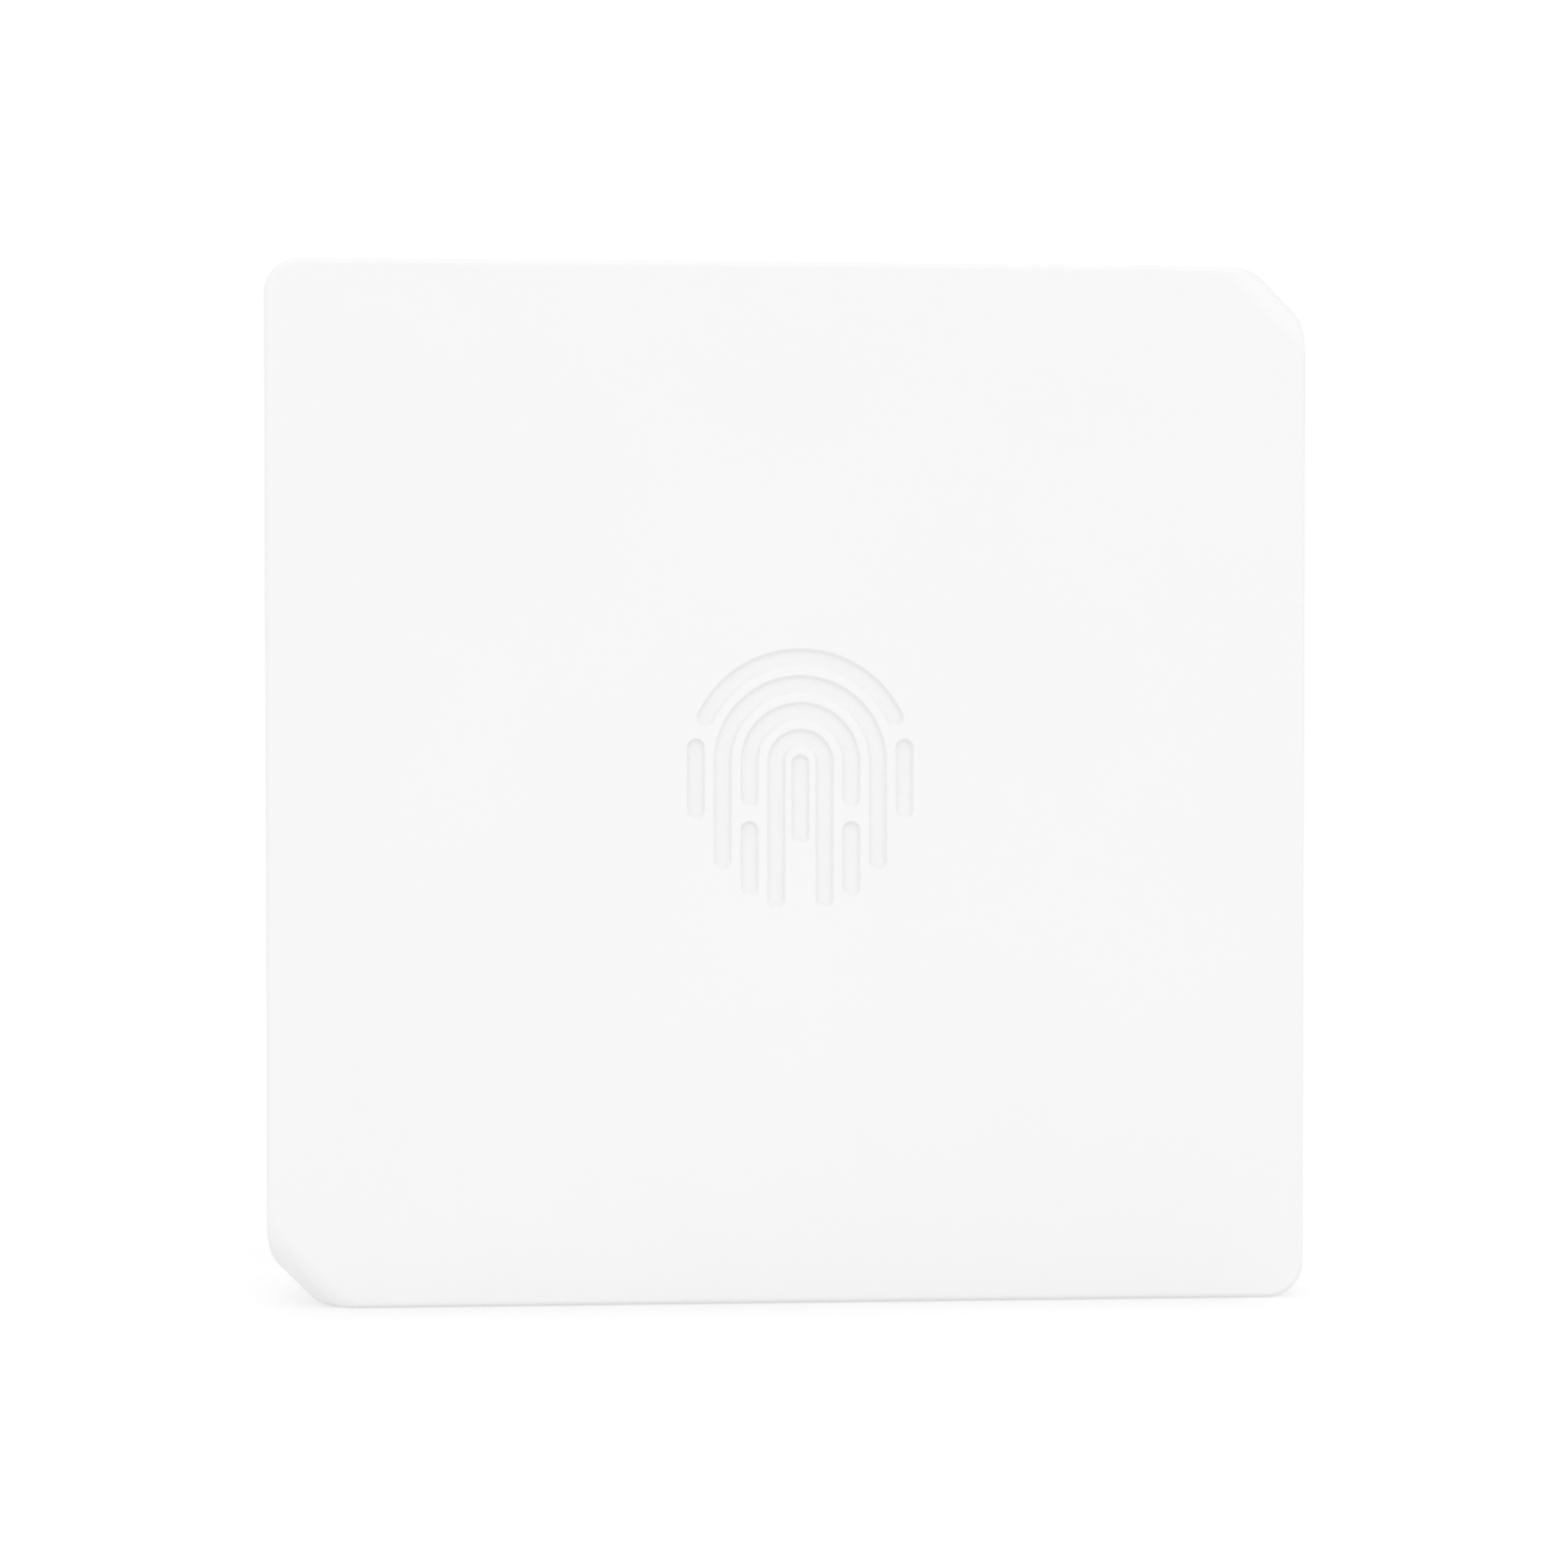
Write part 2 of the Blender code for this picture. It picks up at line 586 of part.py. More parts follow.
def tamper_switch():
    x, z = TAMPER_AT
    near, far = BOARD_BACK + 0.1, 14.5
    shape = box((x - 3.2, near, z - 3.2), (x + 3.2, far, z + 3.2), 0.3)
    body = solid("tamper_switch", shape, "button_black")
    chamber = [(2.3, 9.0), (2.3, 13.6), (1.5, 13.6), (1.5, far + 1)]
    cut(body, "chamber", turned(TAMPER_AT, chamber))
    tip = BODY_DEPTH + PLUNGER_REACH
    steps = [(1.9, 12.5), (1.9, 13.3), (1.2, 13.3), (1.2, tip - 0.5), (0.7, tip)]
    plunger = solid("tamper_plunger", turned(TAMPER_AT, steps), "led_white")
    move_origin(plunger, place(x, far, z))
    spring = solid("tamper_spring", helix(TAMPER_AT, 1.5, 0.13, 9.2, 12.35, 3.5), "spring_steel")
    move_origin(spring, place(x, 9.2, z))


# ---------------------------------------------------------------- wall plate and lock

def mounting_plate():
    chamfer = 4.0
    low, high, half = PLATE_LOW, PLATE_HIGH, PLATE_HALF
    right = [(half - chamfer, low), (half, low + chamfer), (half, high - chamfer), (half - chamfer, high)]
    points = right + [(-x, z) for x, z in reversed(right)]
    plate = solid("mounting_plate", plate_of(points, PLATE_FRONT, BODY_DEPTH), "plate_steel")
    metal = bmesh.new()
    inside = PLATE_FRONT + PLATE_THICK / 2
    for side in (-1, 1):
        left, right = side * TAB_X - TAB_WIDTH / 2, side * TAB_X + TAB_WIDTH / 2
        tab = [(15.3, high - PLATE_THICK), (inside, high - PLATE_THICK), (inside, high - 0.02),
               (16.3, high - 0.02), (16.3, 83.0), (15.3, 83.0)]
        add_loft(metal, [[place(x, depth, z) for depth, z in tab] for x in (left, right)])
    flange_front = LIP_BACK + GAP
    add_box(metal, (-8, flange_front, low), (8, inside, low + PLATE_THICK))
    fuse(plate, "tabs_and_flange", metal)
    cut(plate, "cable_opening", box((-20, PLATE_FRONT - 1, 17.5), (20, BODY_DEPTH + 1, 38.5), 0.0))
    cut(plate, "plunger_hole", cylinders([TAMPER_AT], 2.5, PLATE_FRONT - 1, BODY_DEPTH + 1))
    cut(plate, "fixing_slots", fixing_slots())
    cut(plate, "lock_slot", lock_slot(flange_front))
    return move_origin(plate, place(0, HINGE_DEPTH, PLATE_HIGH))


def fixing_slots():
    """Four slots, 60 mm apart across and up, for the screws of a wall box."""
    bm = bmesh.new()
    half_length, half_width = 4.5, 2.25
    for x, z in ((-30, MID_Z), (30, MID_Z), (0, MID_Z + 30), (0, MID_Z - 30)):
        upright = x != 0
        half_x, half_z = (half_width, half_length) if upright else (half_length, half_width)
        ring = rounded_rectangle(half_x, half_z, half_width - 0.01, (x, z))
        ends = (PLATE_FRONT - 1, BODY_DEPTH + 1)
        add_loft(bm, [[place(px, depth, pz) for px, pz in ring] for depth in ends])
    return bm


def lock_slot(flange_front):
    """The slot of the lower flange, open to the front, that straddles the lock screw."""
    radius = 1.6
    points = [(-radius, flange_front - 1), (radius, flange_front - 1)]
    points += arc((0, LOCK_DEPTH), radius, 0, 180, 8)
    heights = (PLATE_LOW - 1, PLATE_LOW + PLATE_THICK + 1)
    return loft([[place(x, depth, z) for x, depth in points] for z in heights])


def lock_parts():
    at = (0.0, LOCK_DEPTH)
    steps = [(1.9, 0.8), (2.3, 1.1), (2.3, 2.8), (1.25, 2.8), (1.25, 8.9), (0.8, 9.3)]
    made = solid("lock_screw", turned(at, steps, 'Z', sides=16), "screw_steel")
    cut(made, "hex_socket", turned(at, [(1.25, 0.0), (1.25, 2.0)], 'Z', sides=6))
    move_origin(made, place(0, LOCK_DEPTH, 0))
    insert = [(2.0, 5.0), (2.0, 9.4), (1.5, 9.4), (1.5, 5.0)]
    solid("lock_insert", turned(at, insert, 'Z', sides=20, closed=True), "insert_brass")


def build():
    clear_scene()
    front_cover()
    cover_seal()
    rear_housing()
    fasteners()
    main_board()
    antenna_stack()
    touch_parts()
    status_leds()
    front_side_parts()
    terminal_block()
    dip_switch()
    program_switch()
    tamper_switch()
    mounting_plate()
    lock_parts()


build()
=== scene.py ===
"""Looks of the square RFID card reader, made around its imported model.

Places are given as (x, depth, z) in millimetres. Depth is the distance behind the reading face.
"""
import json
import math

import bpy
from mathutils import Euler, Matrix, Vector

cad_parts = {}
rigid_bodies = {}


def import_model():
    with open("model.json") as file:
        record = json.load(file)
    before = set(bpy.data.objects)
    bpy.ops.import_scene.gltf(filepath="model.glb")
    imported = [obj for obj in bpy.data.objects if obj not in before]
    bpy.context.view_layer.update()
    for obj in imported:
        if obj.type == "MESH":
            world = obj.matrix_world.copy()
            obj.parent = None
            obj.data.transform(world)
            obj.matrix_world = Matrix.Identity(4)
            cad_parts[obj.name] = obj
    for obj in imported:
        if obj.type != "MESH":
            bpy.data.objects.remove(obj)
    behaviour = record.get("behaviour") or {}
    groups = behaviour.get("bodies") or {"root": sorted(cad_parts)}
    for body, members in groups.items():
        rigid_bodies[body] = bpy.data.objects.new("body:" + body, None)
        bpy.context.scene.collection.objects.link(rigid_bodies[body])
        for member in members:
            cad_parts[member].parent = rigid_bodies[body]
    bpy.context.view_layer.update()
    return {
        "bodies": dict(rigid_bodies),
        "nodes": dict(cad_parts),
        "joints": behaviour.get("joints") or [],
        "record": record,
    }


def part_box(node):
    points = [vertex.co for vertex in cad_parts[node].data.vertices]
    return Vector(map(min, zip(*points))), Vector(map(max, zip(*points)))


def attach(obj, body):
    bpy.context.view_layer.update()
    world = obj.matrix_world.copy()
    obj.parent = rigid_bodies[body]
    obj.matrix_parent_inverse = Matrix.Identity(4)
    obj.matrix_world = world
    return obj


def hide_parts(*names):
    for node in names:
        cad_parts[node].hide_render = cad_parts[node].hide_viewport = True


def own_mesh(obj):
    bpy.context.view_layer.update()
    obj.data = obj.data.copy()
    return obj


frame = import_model()

MM = 0.001
COVER_LOW, COVER_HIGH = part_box("front_cover")
FRONT_Y = COVER_LOW.y / MM
SIDE = (COVER_HIGH.z - COVER_LOW.z) / MM
HALF = SIDE / 2
MID_Z = SIDE / 2

# Studio: a white dome brightest in front, a wide soft lamp overhead and a card that glows a little, with a
# painted contact shadow where its glow is lowered near the cover's foot
SKY_FRONT = 1.38
SKY_BEHIND = 0.74
BACKDROP = 1.05
OVERHEAD = 0.25
OVERHEAD_SPREAD = 70
OVERHEAD_FROM = (0.25, -0.35, 1.0)
CARD = 0.36
CARD_GLOW = 0.615
# Painted contact shadow on the card: its lower glow at the cover's foot, and the distance in mm over which
# that glow rises back to the card's full glow
PAINTED_SHADOW_GLOW = 0.515
PAINTED_SHADOW_FADE = 12.0

# Camera
CAMERA_AT = (-16.50, -250.9, 47.83)
CAMERA_TILT = -1.098
CAMERA_TURN = -3.636
LENS = 70

# Case outline
WALL = 2.0
GAP = 0.3
CORNER_RADIUS = 3.0
CUT_LEG = 4.1
CUT_BLEND = 2.75
EDGE_RADIUS = 0.5
CUT_ROLL = 2.6
COVER_DEPTH = 9.0

# Touch symbol
GROOVE_SECTION = ((0.80, -0.3), (0.80, 0.0), (0.76, 0.02), (0.71, 0.07), (0.65, 0.17), (0.59, 0.27),
                  (0.52, 0.33), (0.44, 0.36))
ARCH_RADII = (2.0, 4.21, 6.42, 8.63)
ARCH_CENTRE = (0.8, 44.8)
SYMBOL_CENTRE = (0.6, 43.4)

# Rear housing, by depth
LIP_FRONT = 6.9
LIP_BACK = 10.6
LIP_WALL = 1.2
RIM_FRONT = 9.4
WEB_FRONT = 12.8
WEB_BACK = 14.6
HOUSING_BACK = 17.8
RIB_HEIGHT = 1.1
BAY_HALF = 22.0
TAB_X = 24.0
PLATE_FRONT = 16.8
PLATE_BACK = 18.0

# Board and what lies on it, by depth
BOARD_FRONT = 6.6
BOARD_BACK = 8.2
FRONT_SEAT = 6.5
BACK_SEAT = 8.3
COIL_MIDDLE = (0.0, 45.5)
COIL_FRONT = 4.2
WIRE_GAUGE = 0.2

# Places of the screws and switches as (x, z), and of the lock screw as (x, depth)
COVER_SCREWS = [(sx * 36.0, MID_Z + sz * 36.0) for sz in (1, -1) for sx in (-1, 1)]
BOARD_SCREWS = [(sx * 34.5, MID_Z + sz * 22.0) for sz in (1, -1) for sx in (-1, 1)]
TAMPER_AT = (14.0, 44.0)
PROGRAM_AT = (14.0, 22.0)
LOCK_AT = (0.0, 13.2)


# ------------------------------------------------------------------ drawing tools

def at(x, depth, z):
    return Vector((x * MM, (FRONT_Y + depth) * MM, z * MM))


def pick(*things):
    bpy.ops.object.select_all(action='DESELECT')
    for thing in things:
        thing.select_set(True)
    bpy.context.view_layer.objects.active = things[0]


def edit(thing):
    pick(thing)
    bpy.ops.object.mode_set(mode='EDIT')


def leave_edit():
    bpy.ops.object.mode_set(mode='OBJECT')


def drawn(name, rings, closed=False):
    """Extrudes a circle's edge from ring to ring and gives each ring its shape, with both ends filled.

    A closed run joins its last ring to its first instead, as round a seal.
    """
    count = len(rings[0])
    bpy.ops.object.select_all(action='DESELECT')
    bpy.ops.mesh.primitive_circle_add(vertices=count, fill_type='NOTHING' if closed else 'NGON')
    thing = bpy.context.object
    thing.name = name
    edit(thing)
    bpy.ops.mesh.select_mode(type='EDGE')
    bpy.ops.mesh.select_all(action='SELECT')
    for _ in rings[1:]:
        bpy.ops.mesh.extrude_edges_move(TRANSFORM_OT_translate={"value": (0, 0, 1)})
    if not closed:
        bpy.ops.mesh.edge_face_add()
    leave_edit()
    mesh = thing.data
    mesh.vertices.foreach_set("co", [value for ring in rings for point in ring for value in point])
    mesh.update()
    edit(thing)
    if closed:
        bpy.ops.mesh.select_all(action='DESELECT')
        leave_edit()
        last = len(mesh.vertices) - count
        for edge in mesh.edges:
            a, b = edge.vertices
            edge.select = (a < count and b < count) or (a >= last and b >= last)
        edit(thing)
        bpy.ops.mesh.bridge_edge_loops()
    bpy.ops.mesh.select_all(action='SELECT')
    bpy.ops.mesh.normals_make_consistent(inside=False)
    leave_edit()
    return thing


def join(things, name):
    pick(*things)
    if len(things) > 1:
        bpy.ops.object.join()
    bpy.context.object.name = name
    return bpy.context.object


def shape_with(thing, tool, operation):
    """Cuts with or adds a tool, which is used up."""
    step = thing.modifiers.new(operation, 'BOOLEAN')
    step.operation = operation
    step.solver = 'EXACT'
    step.object = tool
    pick(thing)
    bpy.ops.object.modifier_apply(modifier=step.name)
    bpy.data.objects.remove(tool, do_unlink=True)


def cut(thing, tool):
    shape_with(thing, tool, 'DIFFERENCE')


def add(thing, tool):
    shape_with(thing, tool, 'UNION')


def smooth(thing, crease=35):
    """Smooth shading that leaves creases sharp and keeps wide flat faces flat."""
    pick(thing)
    bpy.ops.object.shade_smooth_by_angle(angle=math.radians(crease))
    weighted = thing.modifiers.new("face weights", 'WEIGHTED_NORMAL')
    weighted.keep_sharp = True
    bpy.ops.object.modifier_apply(modifier=weighted.name)
    return thing


def around(centre, along, radius, angle, position):
    """A point turned about a line along Y at (x, z), or along Z at (x, depth)."""
    u = radius * math.cos(angle)
    v = radius * math.sin(angle)
    if along == 'Y':
        return at(centre[0] + u, position, centre[1] + v)
    return at(centre[0] + u, centre[1] + v, position)


def circle(centre, along, radius, position, sides=48):
    return [around(centre, along, radius, 2 * math.pi * (i + 0.5) / sides, position) for i in range(sides)]


def turned(name, centre, profile, along='Y', sides=48, closed=False):
    """A turned shape; profile is its (radius, position) steps along the line it is turned about."""
    rings = [circle(centre, along, radius, position, sides) for radius, position in profile]
    return drawn(name, rings, closed)


def thread(centre, root, crest, start, end, pitch, along='Y', sides=24):
    """Rings of a screw thread: each point goes out to the crest where the helix passes it."""
    steps = math.ceil(abs(end - start) / pitch * 6)
    rings = []
    for i in range(steps + 1):
        position = start + (end - start) * i / steps
        taper = min(1.0, 4 * i / steps, 4 * (steps - i) / steps)
        ring = []
        for k in range(sides):
            turn = (k + 0.5) / sides
            phase = (position / pitch - turn) % 1.0
            rise = max(0.0, 1 - abs(phase - 0.5) * 3.2) * taper
            ring.append(around(centre, along, root + (crest - root) * rise, 2 * math.pi * turn, position))
        rings.append(ring)
    return rings


def softened(points, radius, steps=5, closed=True):
    """A run of points with its corners rounded off over a distance from each corner."""
    path = [Vector(point) for point in points]
    ends = 0 if closed else 1
    out = [] if closed else [tuple(path[0])]
    for i in range(ends, len(path) - ends):
        corner = path[i]
        before = path[i - 1]
        after = path[(i + 1) % len(path)]
        near = corner + (before - corner).normalized() * min(radius, (before - corner).length * 0.49)
        far = corner + (after - corner).normalized() * min(radius, (after - corner).length * 0.49)
        for k in range(steps + 1):
            t = k / steps
            out.append(tuple(near * (1 - t) ** 2 + corner * 2 * t * (1 - t) + far * t ** 2))
    return out if closed else out + [tuple(path[-1])]


def rounded(half_x, half_z, radius, centre=(0, 0), steps=6):
    """Outline of a rectangle with round corners."""
    points = []
    for corner, (sx, sz) in enumerate(((1, 1), (-1, 1), (-1, -1), (1, -1))):
        middle = (centre[0] + sx * (half_x - radius), centre[1] + sz * (half_z - radius))
        points += arc(middle, radius, 90 * corner, 90 * corner + 90, steps)
    return points


def plate(name, points, near, far):
    """A flat piece cut to an outline of (x, z) points."""
    return drawn(name, [[at(x, depth, z) for x, z in points] for depth in (near, far)])


def wire(name, points, radius, sides=8):
    """A round wire along a run of (x, depth, z) points."""
    path = [Vector(point) for point in points]
    normal = (path[1] - path[0]).orthogonal().normalized()
    rings = []
    for i, point in enumerate(path):
        ahead = (path[min(i + 1, len(path) - 1)] - path[max(i - 1, 0)]).normalized()
        normal = (normal - ahead * normal.dot(ahead)).normalized()
        across = ahead.cross(normal)
        ring = []
        for k in range(sides):
            angle = 2 * math.pi * k / sides
            ring.append(at(*(point + (normal * math.cos(angle) + across * math.sin(angle)) * radius)))
        rings.append(ring)
    return drawn(name, rings)


def coil_spring(name, centre, radius, gauge, near, far, turns):
    """A compression spring whose last turn at either end lies flat."""
    count = int(turns * 20)
    points = []
    for i in range(count + 1):
        angle = 2 * math.pi * i / 20
        share = min(1.0, max(0.0, (i / 20 - 0.8) / (turns - 1.6)))
        rise = share * (far - near - 2 * gauge - 2.4 * gauge)
        flat = 1.2 * gauge * (min(1.0, i / 20) + min(1.0, max(0.0, i / 20 - turns + 1)))
        points.append((centre[0] + radius * math.cos(angle), near + gauge + rise + flat,
                       centre[1] + radius * math.sin(angle)))
    return wire(name, points, gauge)


def strip(name, run, thickness, width, centre=(0, 0), quarter=0, offset=0.0):
    """A bent metal strip; run is its centre line as (reach, depth), quarter turns it about its centre."""
    sides = [[], []]
    for i, point in enumerate(run):
        before = run[max(i - 1, 0)]
        after = run[min(i + 1, len(run) - 1)]
        angle = math.atan2(after[1] - before[1], after[0] - before[0])
        for side, sign in zip(sides, (1, -1)):
            side.append((point[0] - sign * math.sin(angle) * thickness / 2,
                         point[1] + sign * math.cos(angle) * thickness / 2))
    section = sides[0] + sides[1][::-1]
    c, s = ((1, 0), (0, 1), (-1, 0), (0, -1))[quarter]
    rings = []
    for across in (offset - width / 2, offset + width / 2):
        rings.append([at(centre[0] + c * reach - s * across, depth, centre[1] + s * reach + c * across)
                      for reach, depth in section])
    return drawn(name, rings)


def copied(thing, name, shift):
    """A copy with its own mesh, moved by (x, depth, z)."""
    pick(thing)
    bpy.ops.object.duplicate()
    made = bpy.context.object
    made.name = name
    edit(made)
    bpy.ops.mesh.select_all(action='SELECT')
    bpy.ops.transform.translate(value=Vector(shift) * MM)
    leave_edit()
    return made


def ease(thing, size, steps=2, sharper_than=50):
    """Rounds every edge sharper than an angle."""
    edit(thing)
    bpy.ops.mesh.select_mode(type='EDGE')
    bpy.ops.mesh.select_all(action='DESELECT')
    bpy.ops.mesh.edges_select_sharp(sharpness=math.radians(sharper_than))
    bpy.ops.mesh.bevel(offset=size * MM, segments=steps, affect='EDGES', clamp_overlap=True)
    leave_edit()
    return thing


def block(name, low, high, edge=0.0, steps=3):
    """A cube stretched to its corners with its edges rounded."""
    bpy.ops.object.select_all(action='DESELECT')
    middle = at(*[(a + b) / 2 for a, b in zip(low, high)])
    size = [abs(b - a) * MM for a, b in zip(low, high)]
    bpy.ops.mesh.primitive_cube_add(size=1, location=middle, scale=size)
    thing = bpy.context.object
    thing.name = name
    bpy.ops.object.transform_apply(location=True, rotation=True, scale=True)
    if edge:
        edit(thing)
        bpy.ops.mesh.select_all(action='SELECT')
        bpy.ops.mesh.bevel(offset=edge * MM, segments=steps, affect='EDGES')
        leave_edit()
    return thing


# ------------------------------------------------------------------ outline of the case

def arc(centre, radius, start, end, steps):
    """Points of an arc, from one angle to another in degrees."""
    points = []
    for i in range(steps + 1):
        angle = math.radians(start + (end - start) * i / steps)
        points.append((centre[0] + radius * math.cos(angle), centre[1] + radius * math.sin(angle)))
    return points


def outline(inset, cut_shift=0.0):
    """The case's outline moved inwards: two opposite corners are round, the other two cut at 45 degrees.

    cut_shift moves the cuts further in, square to themselves, for the soft roll along them.
    """
    edge = HALF - inset
    radius = max(CORNER_RADIUS - inset, 0.4)
    blend = max(CUT_BLEND - inset, 0.4)
    leg = CUT_LEG + (inset + cut_shift) * math.sqrt(2) - 2 * inset
    tangent = blend * math.tan(math.radians(22.5))
    inner, outer = edge - leg - tangent, edge - blend
    points = arc((edge - radius, radius - edge), radius, -90, 0, 20)
    points += arc((outer, inner), blend, 0, 45, 8) + arc((inner, outer), blend, 45, 90, 8)
    points += arc((radius - edge, edge - radius), radius, 90, 180, 20)
    points += arc((-outer, -inner), blend, 180, 225, 8) + arc((-inner, -outer), blend, 225, 270, 8)
    return [(x, MID_Z + z) for x, z in points]


def outline_ring(inset, depth, cut_shift=0.0):
    return [at(x, depth, z) for x, z in outline(inset, cut_shift)]


def rolled_in(radius, depth):
    """How far a quarter-round edge is set in at a depth behind the face."""
    if depth >= radius:
        return 0.0
    return radius - math.sqrt(radius ** 2 - (radius - depth) ** 2)


# ------------------------------------------------------------------ touch symbol

def arch(ring, left, right, leg=0.0):
    """An arch of the symbol from its left angle over the top to its right one, with straight legs."""
    crown = arc((0, 0), ARCH_RADII[ring], left, right, round(abs(left - right) / 4))
    if not leg:
        return crown
    return [(crown[0][0], -leg)] + crown + [(crown[-1][0], -leg)]


def symbol_strokes():
    """Centre lines of a plain fingertip symbol, the same on both sides, about its arches' centre."""
    strokes = [arch(3, 155, 25), arch(2, 180, 0, 8.2), arch(1, 180, 0, 3.0), arch(0, 180, 0, 11.4)]
    strokes.append([(0.0, -0.1), (0.0, -6.1)])
    for side in (-1, 1):
        outer = side * ARCH_RADII[3]
        inner = side * ARCH_RADII[1]
        strokes.append([(outer, 1.2), (outer, -4.0)])
        strokes.append([(inner, -5.6), (inner, -10.4)])
    return strokes


def stroke_outline(points, half_width):
    """A closed outline round a centre line, with round ends."""
    left = []
    right = []
    for i, (x, z) in enumerate(points):
        before = points[max(i - 1, 0)]
        after = points[min(i + 1, len(points) - 1)]
        angle = math.atan2(after[1] - before[1], after[0] - before[0])
        left.append((x - math.sin(angle) * half_width, z + math.cos(angle) * half_width))
        right.append((x + math.sin(angle) * half_width, z - math.cos(angle) * half_width))
    first = math.degrees(math.atan2(points[1][1] - points[0][1], points[1][0] - points[0][0]))
    last = math.degrees(math.atan2(points[-1][1] - points[-2][1], points[-1][0] - points[-2][0]))
    start_cap = arc(points[0], half_width, first + 90, first + 270, 16)[1:-1]
    end_cap = arc(points[-1], half_width, last - 90, last + 90, 16)[1:-1]
    return right + end_cap + left[::-1] + start_cap


def groove_tools():
    """One tool for each stroke; its section is (half width, depth) steps down a soft-edged wall."""
    tools = []
    for stroke in symbol_strokes():
        placed = [(x + ARCH_CENTRE[0], z + ARCH_CENTRE[1]) for x, z in stroke]
        rings = []
        for width, depth in GROOVE_SECTION:
            rings.append([at(x, depth, z) for x, z in stroke_outline(placed, width)])
        tools.append(drawn("groove", rings))
    return join(tools, "grooves")


# ------------------------------------------------------------------ materials

class Finish:
    """A procedural material whose patterns are in millimetres of the piece's own space."""

    def __init__(self, name, colour, roughness, metallic=0.0):
        self.material = bpy.data.materials.new(name)
        self.material.use_nodes = True
        self.nodes = self.material.node_tree.nodes
        self.links = self.material.node_tree.links
        self.shader = self.nodes["Principled BSDF"]
        self.shader.inputs["Base Color"].default_value = (*colour, 1)
        self.shader.inputs["Roughness"].default_value = roughness
        self.shader.inputs["Metallic"].default_value = metallic
        self.colour = colour
        self.roughness = roughness
        place = self.nodes.new("ShaderNodeTexCoord")
        scale = self.nodes.new("ShaderNodeMapping")
        scale.inputs["Scale"].default_value = (1 / MM, 1 / MM, 1 / MM)
        self.links.new(place.outputs["Object"], scale.inputs["Vector"])
        self.place = scale.outputs["Vector"]
        self.normal = None

    def stretched(self, stretch):
        """Where a pattern is read: the piece's own place, stretched along its axes if told."""
        if not stretch:
            return self.place
        squeeze = self.nodes.new("ShaderNodeMapping")
        squeeze.inputs["Scale"].default_value = stretch
        self.links.new(self.place, squeeze.inputs["Vector"])
        return squeeze.outputs["Vector"]

    def noise(self, size, detail=2.0, stretch=None):
        """A noise whose features are about size mm across."""
        made = self.nodes.new("ShaderNodeTexNoise")
        made.inputs["Scale"].default_value = 1 / size
        made.inputs["Detail"].default_value = detail
        self.links.new(self.stretched(stretch), made.inputs["Vector"])
        return made.outputs["Fac"]

    def ranged(self, source, low, high, start=0.3, end=0.7):
        made = self.nodes.new("ShaderNodeMapRange")
        made.inputs["From Min"].default_value = start
        made.inputs["From Max"].default_value = end
        made.inputs["To Min"].default_value = low
        made.inputs["To Max"].default_value = high
        self.links.new(source, made.inputs["Value"])
        return made.outputs["Result"]

    def tint(self, source, other, start=0.3, end=0.7):
        """Blends the base colour towards another one by a pattern."""
        mix = self.nodes.new("ShaderNodeMix")
        mix.data_type = 'RGBA'
        old = self.shader.inputs["Base Color"]
        if old.is_linked:
            self.links.new(old.links[0].from_socket, mix.inputs[6])
        else:
            mix.inputs[6].default_value = (*self.colour, 1)
        mix.inputs[7].default_value = (*other, 1)
        self.links.new(self.ranged(source, 0, 1, start, end), mix.inputs[0])
        self.links.new(mix.outputs[2], old)
        return self

    def gloss(self, source, spread):
        low, high = self.roughness - spread, self.roughness + spread
        self.links.new(self.ranged(source, low, high), self.shader.inputs["Roughness"])
        return self

    def relief(self, source, height):
        """Bumps of a height in millimetres."""
        bump = self.nodes.new("ShaderNodeBump")
        bump.inputs["Strength"].default_value = 1.0
        bump.inputs["Distance"].default_value = height * MM
        self.links.new(source, bump.inputs["Height"])
        if self.normal:
            self.links.new(self.normal, bump.inputs["Normal"])
        self.normal = bump.outputs["Normal"]
        self.links.new(self.normal, self.shader.inputs["Normal"])
        return self

    def level(self, **values):
        for label, value in values.items():
            self.shader.inputs[label.replace("_", " ").title().replace("Ior", "IOR")].default_value = value
        return self

    def cells(self, size, randomness=1.0, stretch=None, lines=False):
        """Cells about size mm across: a shade for each one, or the distance from the lines between them."""
        made = self.nodes.new("ShaderNodeTexVoronoi")
        made.inputs["Scale"].default_value = 1 / size
        made.inputs["Randomness"].default_value = randomness
        self.links.new(self.stretched(stretch), made.inputs["Vector"])
        if lines:
            made.feature = 'DISTANCE_TO_EDGE'
            return made.outputs["Distance"]
        return made.outputs["Color"]


def paint(thing, finish):
    thing.data.materials.clear()
    thing.data.materials.append(finish.material)
    return thing


def fit(thing, body, slot, finish, *nodes):
    """Finishes a piece: its material, the body it moves with and the CAD nodes it stands for."""
    paint(thing, finish)
    if nodes:
        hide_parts(*nodes)
    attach(thing, body)
    return thing


def moulded(name, colour, other, roughness=0.5, grain=0.25, height=0.003):
    """Moulded plastic: an eroded grain, patches of gloss and a slight drift of colour."""
    made = Finish(name, colour, roughness)
    made.tint(made.noise(14, 3), other)
    made.gloss(made.noise(1.1, 3), 0.06)
    made.relief(made.noise(grain, 2), height)
    return made


def metal(name, colour, other, roughness=0.3, grain=(1, 1, 1), height=0.002):
    """Metal with stains, and with fine marks that are long where the grain's scale is small."""
    made = Finish(name, colour, roughness, 1.0)
    made.tint(made.noise(1.8, 4), other)
    made.gloss(made.noise(0.35, 4, grain), 0.08)
    made.relief(made.noise(0.12, 2, grain), height)
    return made


def rubber_finish():
    made = Finish("silicone rubber", (0.055, 0.055, 0.06), 0.72)
    made.tint(made.noise(3, 3), (0.085, 0.084, 0.083))
    made.relief(made.noise(0.1, 3), 0.006)
    return made


